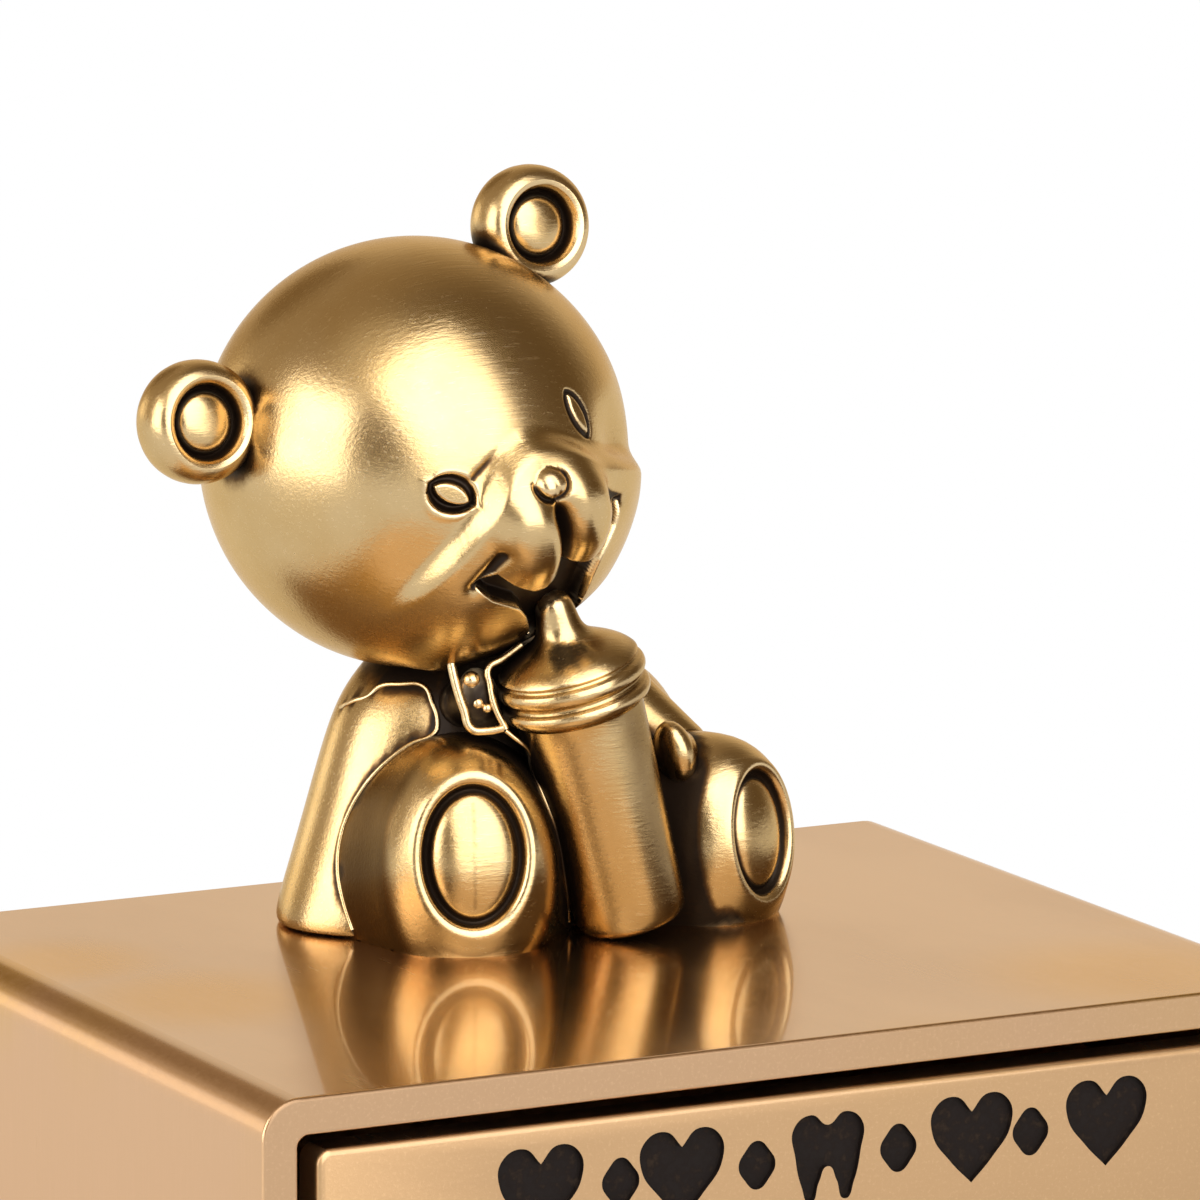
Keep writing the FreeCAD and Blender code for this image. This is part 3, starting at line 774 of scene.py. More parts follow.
@dataclass(frozen=True)
class CaseBrass:
    """Plating of the case and drawer: polished upward faces, brushed sides, and faces that look forward
    painted darker as shade.

    Args:
        name: Name of the material.
        tan: Colour of most of it.
        golden: Colour of the yellower clouds.
        top: Colour of the polished faces that look up.
        polish: Roughness of faces that look up.
        satin: Roughness of the other faces.
        lay: Way of the brushing on the sides.
        blast: How far a front face is grained instead of brushed, from 0 to 1.
        pools: Places in millimetres, each with a reach, where the colour is painted yellower.
    """

    name: str
    tan: Colour = (0.66, 0.415, 0.23)
    golden: Colour = (0.67, 0.415, 0.115)
    top: Colour = (0.62, 0.455, 0.29)
    polish: float = 0.19
    satin: float = 0.34
    lay: Lay = Lay.ALONG_Z
    blast: float = 0.85
    pools: Tuple[Tuple[float, float, float, float], ...] = ()

    def make(self) -> bpy.types.Material:
        """Build the material on Object coordinates.

        Returns:
            The new material.
        """
        w = new_material(self.name)
        coords = w.add("ShaderNodeTexCoord")
        where = coords.outputs["Object"]
        facing = w.add("ShaderNodeSeparateXYZ", None, Vector=coords.outputs["Normal"])
        up = w.span(facing.outputs["Z"], 0.90, 0.995)
        front = w.span(facing.outputs["Y"], -0.80, -0.97)
        scale = {Lay.ALONG_X: (120, 5200, 5200), Lay.ALONG_Z: (5200, 5200, 120)}[self.lay]
        brushed = w.noise(where, scale, detail=4.0, roughness=0.7)
        buffed = w.noise(where, (6200, 150, 400), (0, 0, 4), detail=3.0, roughness=0.6)
        grain = w.noise(where, (5200, 5200, 5200), detail=3.0, roughness=0.7)
        cloud = w.noise(where, (28, 40, 28), detail=3.0)
        smear = w.noise(where, (90, 45, 90), (0, 0, 30), detail=4.0)
        yellow = w.span(cloud, 0.54, 0.72, 0.0, 0.7)
        for *spot, reach in self.pools:
            away = w.measure("DISTANCE", where, Vector(spot) * MM)
            yellow = w.sum("MAXIMUM", yellow, w.span(away, reach * MM, 0.2 * reach * MM))
        tone = w.blend(yellow, w.blend(up, self.tan, self.top), self.golden)
        # Painted shade: faces that look forward are darkened to 0.84 of the tan.
        tone = w.blend(w.sum("MULTIPLY", front, 0.8), tone, tuple(c * 0.84 for c in self.tan))
        pale = tuple(min(1.0, c * k) for c, k in zip(self.tan, (1.10, 1.15, 1.25)))
        side = w.more(1.0, front, -self.blast)
        tone = w.blend(w.sum("MULTIPLY", w.span(brushed, 0.42, 0.70, 0, 0.35), side), tone, pale)
        tone = w.blend(w.sum("MULTIPLY", w.span(grain, 0.5, 0.75, 0, 0.5), front), tone, pale)
        rough_up = w.vary(w.more(self.polish, w.span(smear, 0.35, 0.7), 0.08), buffed, 0.06)
        rough_side = w.vary(self.satin, brushed, w.sum("MULTIPLY", side, 0.30))
        line = w.more(w.sum("MULTIPLY", w.sum("MULTIPLY", brushed, 0.7), side),
                      grain, w.more(0.45, front, 0.6))
        height = w.between(up, line, w.sum("MULTIPLY", buffed, 0.22))
        return w.close(Base_Color=tone, Metallic=1.0, Normal=w.bump(height, 0.16, 0.05),
                       Roughness=w.between(up, rough_side, rough_up, clamp=True),
                       Specular_Tint=(0.95, 0.79, 0.62, 1.0), Coat_Weight=0.5, Coat_Roughness=0.05)


@dataclass(frozen=True)
class Enamel:
    """Black fill in the bottom of the engraved ornament.

    Args:
        name: Name of the material.
        colour: Colour of the fill.
        worn: Colour of its worn grains.
    """

    name: str
    colour: Colour = (0.008, 0.005, 0.004)
    worn: Colour = (0.022, 0.014, 0.009)

    def make(self) -> bpy.types.Material:
        """Build the material with a faint grain.

        Returns:
            The new material.
        """
        w = new_material(self.name)
        grain = w.noise(w.places(), (2500, 2500, 2500), detail=3.0)
        tone = w.blend(w.span(grain, 0.5, 0.8), self.colour, self.worn)
        return w.close(Base_Color=tone, Roughness=w.span(grain, 0.3, 0.7, 0.55, 0.8),
                       Normal=w.bump(grain, 0.2, 0.04), Specular_IOR_Level=0.12)


@dataclass(frozen=True)
class PlatedSteel:
    """Zinc-plated screws and bright rivets.

    Args:
        name: Name of the material.
        colour: Colour of the metal.
        roughness: Its mean roughness.
    """

    name: str
    colour: Colour = (0.60, 0.60, 0.58)
    roughness: float = 0.3

    def make(self) -> bpy.types.Material:
        """Build the material with turned marks and clouds.

        Returns:
            The new material.
        """
        w = new_material(self.name)
        where = w.places()
        cloud = w.noise(where, (600, 600, 600), detail=4.0)
        fine = w.noise(where, (5200, 900, 5200), detail=2.0)
        tone = w.blend(w.span(cloud, 0.3, 0.7), self.colour, tuple(c * 0.78 for c in self.colour))
        return w.close(Base_Color=tone, Metallic=1.0, Roughness=w.vary(self.roughness, fine, 0.2),
                       Normal=w.bump(fine, 0.12, 0.04))


@dataclass(frozen=True)
class Nap:
    """Cloth with a nap: velvet in the drawer, felt under the case.

    Args:
        name: Name of the material.
        colour: Colour of the fibres' roots.
        bright: Colour of the fibres' tips.
        sheen: Strength of the soft edge light.
        fibre: Fibres per metre.
    """

    name: str
    colour: Colour
    bright: Colour
    sheen: float
    fibre: float

    def make(self) -> bpy.types.Material:
        """Build the material from tufts and strokes of the nap.

        Returns:
            The new material.
        """
        w = new_material(self.name)
        where = w.places()
        tuft = w.noise(where, (self.fibre, self.fibre, self.fibre), detail=3.0, roughness=0.7)
        stroke = w.noise(where, (110, 60, 60), (0, 0, 25), detail=3.0)
        share = w.more(w.sum("MULTIPLY", w.span(tuft, 0.35, 0.7), 0.55),
                       w.span(stroke, 0.35, 0.65), 0.45, clamp=True)
        return w.close(Base_Color=w.blend(share, self.colour, self.bright), Roughness=0.92,
                       Normal=w.bump(tuft, 0.7, 0.12), Sheen_Weight=self.sheen, Sheen_Roughness=0.4)


def coat(obj: bpy.types.Object, *materials: bpy.types.Material) -> None:
    """Give an object its materials in order.

    Args:
        obj: The piece.
        materials: The materials, in the order of its slots.
    """
    obj.data.materials.clear()
    for material in materials:
        obj.data.materials.append(material)


def hand_over(obj: bpy.types.Object, body: Body, slot: Slot, *nodes: str) -> None:
    """Let a finished piece ride on its body and stand for its CAD nodes.

    Args:
        obj: The piece.
        body: The body that it moves with.
        slot: The record's material slot; not used.
        nodes: CAD nodes that it replaces.
    """
    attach(obj, body.value)
    if nodes:
        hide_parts(*nodes)
    LOG.info("%s: %d vertices on %s", obj.name, len(obj.data.vertices), body.value)


# Patina and painted shade


@dataclass
class Patina:
    """Works out where dark patina stays, where shade is painted, and where rubbing has bared the metal.

    Args:
        reach: How far a neighbour is felt, in millimetres.
        near: How far the walls of a narrow hollow are felt, in millimetres.
        rays: Number of feelers from each point.
        first: Where none of the feelers up to this number meets metal, the point is open.
        passes: Smoothing passes over the mesh.
        proud: Bend of the surface, per millimetre, at which an edge starts to shine and is bare.
        plate: Level of the plate, close to which the metal is painted darker as shade, in millimetres.
        low: Painted shade at the level of the plate.
        shade_kept: Words in the names of pieces, and the share of the wider painted shade that is kept on
            them.
    """

    reach: float = 9.0
    near: float = 2.6
    rays: int = 18
    first: int = 6
    passes: int = 4
    proud: Pair = (0.55, 2.15)
    plate: float = 30.0
    low: float = 0.34
    shade_kept: Tuple[Tuple[str, float], ...] = (("head", 0.1), ("leg", 0.5))

    def feelers(self) -> List[Vector]:
        """Evenly spread directions over the half ball round +Z.

        Returns:
            Unit directions, the flattest ones first.
        """
        golden = math.pi * (3 - math.sqrt(5))
        out = []
        for i in range(self.rays):
            z = math.sqrt(1 - (i + 0.5) / self.rays * 0.97)
            r = math.sqrt(1 - z * z)
            out.append(Vector((r * math.cos(golden * i), r * math.sin(golden * i), z)))
        return out[::-1]

    def hollows(self, obj: bpy.types.Object, tree: BVHTree) -> Tuple[np.ndarray, np.ndarray]:
        """Shares of feelers from each vertex that meet metal.

        Args:
            obj: The piece.
            tree: All surfaces of the figure.

        Returns:
            Numbers from 0 to 1 for each vertex: for the patina in narrow hollows, and for the wider
                painted shade.
        """
        directions = self.feelers()
        reach, near = self.reach * MM, self.near * MM
        narrow, wider = np.zeros(len(obj.data.vertices)), np.zeros(len(obj.data.vertices))
        for vertex in obj.data.vertices:
            normal = vertex.normal
            start = vertex.co + normal * (0.04 * MM)
            turn = normal.to_track_quat("Z", "Y").to_matrix()
            close = far = 0.0
            for number, direction in enumerate(directions):
                distance = tree.ray_cast(start, turn @ direction, reach)[3]
                if distance is not None:
                    far += 1.0 - 0.7 * distance / reach
                    close += max(0.0, 1.0 - 0.6 * distance / near) if distance < near else 0.0
                elif number == self.first and not far:
                    break
            narrow[vertex.index] = close / len(directions)
            wider[vertex.index] = far / len(directions)
        return narrow, wider

    def edges(self, obj: bpy.types.Object) -> np.ndarray:
        """How strongly each vertex stands proud of its neighbours, from 0 to 1.

        Args:
            obj: The piece.

        Returns:
            A number for each vertex.
        """
        a, b = edge_ends(obj)
        places, normals = points_of(obj), normals_of(obj)
        count = np.maximum(np.bincount(np.r_[a, b], minlength=len(places)), 1)
        mean, reach = np.zeros_like(places), np.zeros(len(places))
        length = np.linalg.norm(places[a] - places[b], axis=1)
        for here, there in ((a, b), (b, a)):
            np.add.at(mean, here, places[there])
            np.add.at(reach, here, length)
        height = -np.einsum("ij,ij->i", mean / count[:, None] - places, normals)
        bend = self.spread(2 * height / np.maximum(reach / count, 1e-4) ** 2, a, b, 3)
        start, bare = self.proud
        return np.clip((bend - start) / (bare - start), 0, 1)

    def spread(self, values: np.ndarray, a: np.ndarray, b: np.ndarray, passes: int) -> np.ndarray:
        """Average values with their neighbours' along the edges from a to b.

        Args:
            values: A number for each vertex.
            a: Vertices at the first ends of the edges.
            b: Vertices at their second ends.
            passes: How often it is done.

        Returns:
            The smoothed numbers.
        """
        count = np.maximum(np.bincount(np.r_[a, b], minlength=len(values)), 1)
        for _ in range(passes):
            total = np.bincount(a, values[b], len(values)) + np.bincount(b, values[a], len(values))
            values = 0.5 * values + 0.5 * total / count
        return values

    def stain(self, pieces: Sequence[bpy.types.Object], patina_and_shade_marks: Dict[str, np.ndarray],
              shades: Dict[str, np.ndarray]) -> None:
        """Store patina with painted shade, the wider painted shade and the rim on every piece of the
        figure.

        Args:
            pieces: All pieces that can hide one another.
            patina_and_shade_marks: Patina in the hollows and painted shade, given for each piece, by the
                piece's name.
            shades: Painted shade, by the piece's name.
        """
        corners: List[Vector] = []
        faces: List[List[int]] = []
        for obj in pieces:
            base = len(corners)
            corners += [v.co.copy() for v in obj.data.vertices]
            faces += [[base + i for i in p.vertices] for p in obj.data.polygons]
        tree = BVHTree.FromPolygons(corners, faces)
        for obj in pieces:
            ends = edge_ends(obj)
            grime, shade = (self.spread(v, *ends, self.passes) for v in self.hollows(obj, tree))
            # The patina attribute also takes the painted shade that is given for some pieces.
            grime = np.maximum(grime, patina_and_shade_marks.get(obj.name, 0.0))
            # Painted shade: the wider shade is weakened on some pieces, and painted darker close to the
            # plate.
            shade = shade * next((share for word, share in self.shade_kept if word in obj.name), 1.0)
            low = self.low * (1 - ease(points_of(obj)[:, 2] - self.plate, 0.2, 4.5))
            shade = np.maximum(np.maximum(shade, low), shades.get(obj.name, 0.0))
            for name, values in (("grime", grime), ("shade", shade), ("rim", self.edges(obj))):
                layer = obj.data.attributes.new(name, "FLOAT", "POINT")
                layer.data.foreach_set("value", values.astype(np.float32))


# Figure


@dataclass(frozen=True)
class Seam:
    """A thin raised line that is left along the edge of a casting.

    Args:
        path: Points of the line in the figure's frame, in millimetres.
        thick: Its radius.
    """

    path: Tuple[Triple, ...]
    thick: float

    def build(self) -> bpy.types.Object:
        """Sweep a round bar along the line."""
        return bent("seam", self.path, ["AUTO"] * len(self.path), False, dimensions="3D",
                    bevel_depth=self.thick * MM, bevel_resolution=3, resolution_u=6, use_fill_caps=True)


@dataclass
class Pose:
    """Frames of the figure in the part's frame, in millimetres.

    Args:
        x: Figure's place across the plate.
        y: Figure's place along the plate.
        plate: Level of the plate.
        yaw: Turn of the figure.
        head: Centre of the head.
        head_turn: Yaw, pitch and roll of the head.
    """

    x: float = 0.9
    y: float = 12.5
    plate: float = 30.0
    yaw: float = 4.0
    head: Triple = (-5.22, 11.0, 54.8)
    head_turn: Triple = (4.2, -7.2, -22.7)

    def figure_frame(self) -> Matrix:
        """Matrix of the seated figure."""
        return at((self.x, self.y, self.plate)) @ spin(self.yaw, "Z")

    def in_figure(self, places: np.ndarray) -> np.ndarray:
        """Places of the part's frame, in the figure's frame, both in millimetres."""
        return seen_from(self.figure_frame(), places)

    def head_frame(self) -> Matrix:
        """Matrix of the head: leaning to the bear's right, looking slightly up."""
        yaw, pitch, roll = self.head_turn
        return at(self.head) @ spin(yaw, "Z") @ spin(pitch, "X") @ spin(roll, "Y")


@dataclass(frozen=True)
class Face:
    """Relief of the face over a round skull, and the patina left in its hollows.

    The relief is laid on a map of the face in millimetres, as a ball looks from the front:
    across is positive on both sides, rise is upwards. Lines on it are pairs of across and rise, and
    heights and depths are in millimetres too.

    Args:
        globe: Radius of the ball of the map.
        brow: Crease over the eye.
        jowl: Upper edge of the cheek.
        lip_over: Upper lip.
        lip_under: Lower lip.
        fold: Crease at the corner of the mouth.
        eyes: Right and left eye: place, lean outwards in degrees, half length and half width.
        nose: Rise of the nose's middle.
        cheek: Height of the cheek.
        dip: Depth of the hollow beside the cheek.
        muzzle: Height of the muzzle.
        lobe: Height of the two lobes over the mouth.
        gape: Depth of the open mouth.
        parting: Depth of the line from the nose to the mouth.
        tip: Height of the nose.
    """

    globe: float = 12.0
    brow: Tuple[Pair, ...] = ((0, 1.0), (0.92, 0.96), (1.93, 0.72), (3.29, 0.22))
    jowl: Tuple[Pair, ...] = ((0, 1.0), (1.0, 0.8), (2.0, 0.2), (3.0, -0.8), (4.2, -1.9), (6.2, -3.1),
                              (7.3, -3.8), (8.5, -4.5), (12.0, -6.0))
    lip_over: Tuple[Pair, ...] = ((0, -6.0), (0.5, -6.4), (1.4, -6.75), (2.1, -6.6), (3.1, -5.75),
                                  (3.76, -4.9), (4.9, -5.05))
    lip_under: Tuple[Pair, ...] = ((0, -10.2), (1.6, -9.9), (2.2, -8.3), (2.7, -7.5), (4.15, -6.25),
                                   (4.9, -5.15))
    fold: Tuple[Pair, ...] = ((3.45, -3.9), (4.1, -4.55), (4.86, -5.12))
    eyes: Tuple[Tuple[float, float, float, float, float], ...] = ((4.6, -0.02, 38, 1.36, 1.02),
                                                                  (4.5, 0.2, -5, 1.60, 0.76))
    nose: float = -1.5
    cheek: float = 0.72
    dip: float = 0.50
    muzzle: float = 0.42
    lobe: float = 0.92
    gape: float = 0.45
    parting: float = 0.85
    tip: float = 0.66

    def chart(self, places: np.ndarray) -> Tuple[np.ndarray, np.ndarray, np.ndarray, np.ndarray]:
        """Across, rise, their pairs, and how much each place belongs to the front.

        Args:
            places: Places in the head's frame, in millimetres.

        Returns:
            The four of them, each with a row for each place.
        """
        out = places / np.linalg.norm(places, axis=1)[:, None]
        across, rise = self.globe * np.abs(out[:, 0]), self.globe * out[:, 2]
        return across, rise, np.stack([across, rise], 1), ease(-out[:, 1], 0.05, 0.35)

    def almond(self, along: np.ndarray, side: np.ndarray, long: float, wide: float) -> np.ndarray:
        """Gap to an almond's outline, less than 0 inside it."""
        width = wide * np.maximum(1 - (along / long) ** 2, 0) ** 0.62
        return np.abs(side) - width + np.maximum(np.abs(along) - long, 0)

    def eye_parts(self, places: np.ndarray) -> Tuple[np.ndarray, np.ndarray, np.ndarray, np.ndarray]:
        """Gap to the nearer socket's outline, the sunk share, the eyeball's share and the lower share.

        Args:
            places: Places in the head's frame, in millimetres.

        Returns:
            The four of them, each with a number for each place.
        """
        across, rise, _, _ = self.chart(places)
        parts = []
        for x, z, lean, long, wide in self.eyes:
            c, n = math.cos(math.radians(lean)), math.sin(math.radians(lean))
            along = (across - x) * n + (rise - z) * c
            side = (across - x) * c - (rise - z) * n
            socket = self.almond(along, side, long, wide)
            ball = self.almond(along, side, 0.80 * long, 0.62 * wide)
            parts.append((socket, ease(-socket, -0.16, 0.22), ease(-ball, -0.10, 0.26),
                          ease(side - along * 0.3, -0.3, 0.5)))
        right = places[:, 0] < 0
        return tuple(np.where(right, a, b) for a, b in zip(*parts))

    def mouth(self, across: np.ndarray, rise: np.ndarray) -> np.ndarray:
        """Share of the open mouth between the lips.

        Args:
            across: Places across the map of the face.
            rise: Their rise on it.

        Returns:
            A number from 0 to 1 for each place.
        """
        over = np.interp(across, *zip(*self.lip_over)) - rise
        under = rise - np.interp(across, *zip(*self.lip_under))
        return ease(np.minimum(over, under), -0.10, 0.30) * ease(-across, -5.0, -4.7)

    def cleft(self, across: np.ndarray, rise: np.ndarray, wide: float) -> np.ndarray:
        """Share of the line from the nose down to the mouth."""
        return np.exp(-(across / wide) ** 1.3) * ease(-rise, 2.2, 3.4) * ease(rise, -7.2, -6.4)

    def nose_ring(self, across: np.ndarray, rise: np.ndarray) -> Tuple[np.ndarray, np.ndarray]:
        """Distance from the nose's middle in its radii, and share of the groove beside and below it.

        Args:
            across: Places across the map of the face.
            rise: Their rise on it.

        Returns:
            The distance and the share for each place.
        """
        drop = rise - self.nose
        ring = np.hypot(across / 0.76, drop / 0.74)
        return ring, np.exp(-((ring - 1.15) / 0.17) ** 2) * ease(0.6 * across - drop, -0.1, 0.6)

    def relief(self, places: np.ndarray) -> np.ndarray:
        """Height of the face over the skull at each place, in millimetres.

        Args:
            places: Places in the head's frame, in millimetres.

        Returns:
            The height at each place.
        """
        across, rise, pairs, front = self.chart(places)
        right, left = places[:, 0] < 0, places[:, 0] > 0
        below = smooth_line(across, self.jowl) - rise
        cheek = self.cheek * ease(below, -0.65, 1.20) * ease(rise, -12.0, -9.5)
        cheek *= 1 - ease(across - 2.0 * left, 5.4, 9.6)
        dip = self.dip * np.where(left, 1.0, 0.45) * hump((across - 7.3) / 2.0, (rise + 2.6) / 2.2, 1.0)
        dip *= 1 - ease(below, -0.2, 1.0)
        wide = cheek + 0.25 * hump(across / 5.0, (rise + 4.5) / 3.5, 1.4)
        muzzle = self.muzzle * hump(across / 3.4, (rise + 2.5) / 3.0, 1.6) * ease(below, -0.15, 1.1)
        lobe = self.lobe * hump((across - 1.7) / 1.72, (rise + 4.0) / 2.6, 1.6)
        mouth = self.mouth(across, rise)
        high = (wide + muzzle + lobe) * (1 - mouth) + (0.3 * wide - self.gape) * mouth - dip
        high -= self.parting * self.cleft(across, rise, 0.42) + 0.34 * beside(pairs, self.fold, 0.36, 1.5)
        crease = (0.10 + 0.90 * ease(across, 0.6, 2.4)) * right
        high -= 0.16 * crease * beside(pairs, self.brow, 0.28)
        ring, groove = self.nose_ring(across, rise)
        high += self.tip * np.maximum(1 - ring ** 2, 0) ** 0.62 - 0.22 * groove
        socket, sunk, ball, low = self.eye_parts(places)
        depth = (0.34 + 0.20 * low) * np.where(left, 0.28, 1.0)
        high += (depth + 0.06) * ball - depth * sunk
        high += 0.06 * right * np.exp(-((socket - 0.28) / 0.20) ** 2)
        return high * front

    def ink(self, places: np.ndarray) -> np.ndarray:
        """Patina in the lines of the face, from 0 to 1.

        Args:
            places: Places in the head's frame, in millimetres.

        Returns:
            The patina at each place.
        """
        across, rise, pairs, front = self.chart(places)
        _, sunk, ball, low = self.eye_parts(places)
        crease = ease(across, 0.8, 2.4) * (places[:, 0] < 0)
        lines = [self.mouth(across, rise), 1.1 * self.cleft(across, rise, 0.30),
                 0.85 * beside(pairs, self.fold, 0.26), 0.42 * crease * beside(pairs, self.brow, 0.20),
                 0.75 * self.nose_ring(across, rise)[1], sunk * (1 - ball) * (0.66 + 0.34 * low)]
        return np.clip(np.max(lines, axis=0), 0, 1) * front


@dataclass
class Head:
    """Round head with the face's relief and two cup-shaped ears.

    Places are in the head's own frame in millimetres: x to the bear's left, -y forward, z up.

    Args:
        pose: Frames of the figure.
        face: Relief of the face.
        radius: Radius of the skull.
        ear: Middle of the left ear.
        cup: Turned profile of an ear: a rim, a narrow groove and a bead, as levels and radii.
        fine: Where the mesh is refined: half width, lowest and highest level.
    """

    pose: Pose
    face: Face = Face()
    radius: float = 11.18
    ear: Triple = (11.1, -0.65, 7.5)
    cup: Tuple[Pair, ...] = ((-1.75, 0.5), (-1.72, 1.5), (-1.55, 2.35), (-1.05, 2.95), (-0.3, 3.2),
                             (0.5, 3.2), (1.15, 3.04), (1.56, 2.72), (1.70, 2.38), (1.60, 2.12),
                             (1.30, 1.96), (0.80, 1.86), (0.62, 1.74), (0.80, 1.62), (1.02, 1.50),
                             (1.22, 1.22), (1.36, 0.80), (1.40, 0.3))
    fine: Tuple[Triple, ...] = ((7.2, -9.4, 3.0), (5.3, -8.8, 2.1))

    def swell(self, obj: bpy.types.Object) -> None:
        """Put every vertex at its height over the skull.

        Args:
            obj: The ball that becomes the skull.
        """
        places = points_of(obj)
        out = places / np.linalg.norm(places, axis=1)[:, None]
        put_points(obj, out * (self.radius + self.face.relief(places))[:, None])

    def make_ear(self, side: int) -> bpy.types.Object:
        """Turn one ear and put it in its place.

        Args:
            side: -1 for the bear's right ear, 1 for its left.

        Returns:
            The ear in the head's frame.
        """
        ear = turned("ear", self.cup, 64)
        settle(ear, at((side * self.ear[0], *self.ear[1:])) @ spin(90, "X"))
        return ear

    def build(self) -> Tuple[bpy.types.Object, np.ndarray]:
        """Model the whole head in the part's frame.

        Returns:
            The head, and the patina in the lines of its face.
        """
        obj = quad_ball("bear_head_casting", self.radius, 63)
        for wide, low, high in self.fine:
            refine(obj, lambda p: (p[:, 1] < -4.0) & (p[:, 2] > low) & (p[:, 2] < high)
                   & (np.abs(p[:, 0]) < wide))
        self.swell(obj)
        for side in (-1, 1):
            combine(obj, self.make_ear(side), "UNION")
        tidy(obj, 60)
        ink = self.face.ink(points_of(obj))
        settle(obj, self.pose.head_frame())
        return obj, ink


@dataclass
class Trunk:
    """Bell-shaped trunk that leans to the head, with the lip of a cuff and a seam along the leg.

    Args:
        pose: Frames of the figure.
        lip: Lip of the cuff, and its run down to the plate.
        crotch: Seam along the inner side of the right leg.
        bell: Sections from the seat to the neck.
    """

    pose: Pose
    lip: Seam = Seam(((-9.1, 1.7, 11.0), (-9.5, 0.6, 11.4), (-9.32, -0.2, 11.8), (-8.9, -0.9, 12.1),
                      (-8.41, -1.35, 12.66), (-7.75, -2.2, 12.85),
                      (-6.9, -3.25, 12.82), (-6.78, -3.85, 12.05), (-6.72, -4.3, 11.2),
                      (-6.95, -4.42, 10.6), (-8.04, -3.84, 10.0), (-8.95, -3.32, 9.25),
                      (-9.7, -2.87, 8.4), (-10.2, -2.52, 7.6), (-10.85, -2.2, 6.3), (-11.28, -2.1, 5.0),
                      (-11.6, -2.4, 3.5), (-11.65, -3.0, 2.0), (-11.45, -3.65, 0.5)), 0.15)
    crotch: Seam = Seam(((-5.5, -9.1, 11.35), (-4.9, -9.35, 10.8), (-4.2, -9.2, 10.2), (-3.65, -8.7, 9.1),
                         (-3.4, -9.5, 7.6), (-2.79, -9.62, 5.93), (-1.86, -9.05, 3.1),
                         (-0.9, -7.9, 0.6)), 0.13)
    bell: Tuple[Ring, ...] = (
        Ring(0.0, 12.9, 7.0), Ring(0.12, 13.25, 7.35), Ring(0.7, 13.35, 7.45), Ring(3.0, 12.55, 7.25),
        Ring(5.5, 11.7, 7.0), Ring(8.4, 10.7, 6.55, -0.1), Ring(10.6, 9.75, 6.1, -0.3),
        Ring(12.2, 8.6, 5.6, -0.6), Ring(13.6, 6.6, 5.0, -1.2), Ring(14.8, 4.6, 4.2, -1.8))

    def build(self) -> bpy.types.Object:
        """Loft the trunk from its seat to the neck.

        Returns:
            The trunk in the part's frame.
        """
        obj = loft("bear_torso_casting", self.bell, 96)
        tidy(obj)
        subdivide(obj, 2)
        obj = merge("bear_torso_casting", [obj, self.lip.build(), self.crotch.build()])
        settle(obj, self.pose.figure_frame())
        tidy(obj, 50)
        return obj

    def ink(self, obj: bpy.types.Object) -> np.ndarray:
        """Painted shade on the trunk's front from inside the cuff's lip to between the legs, from 0 to 1.

        Args:
            obj: The trunk.

        Returns:
            A number for each vertex.
        """
        places = self.pose.in_figure(points_of(obj))
        x, y, z = places.T
        clear = from_path(places, self.lip.path) > 2 * self.lip.thick
        middle = ease(x, -6.9, -6.2) * (1 - ease(x, 1.0, 3.5))
        return 0.42 * middle * ease(-y, 1.5, 3.0) * ease(z, 8.5, 10.0) * clear


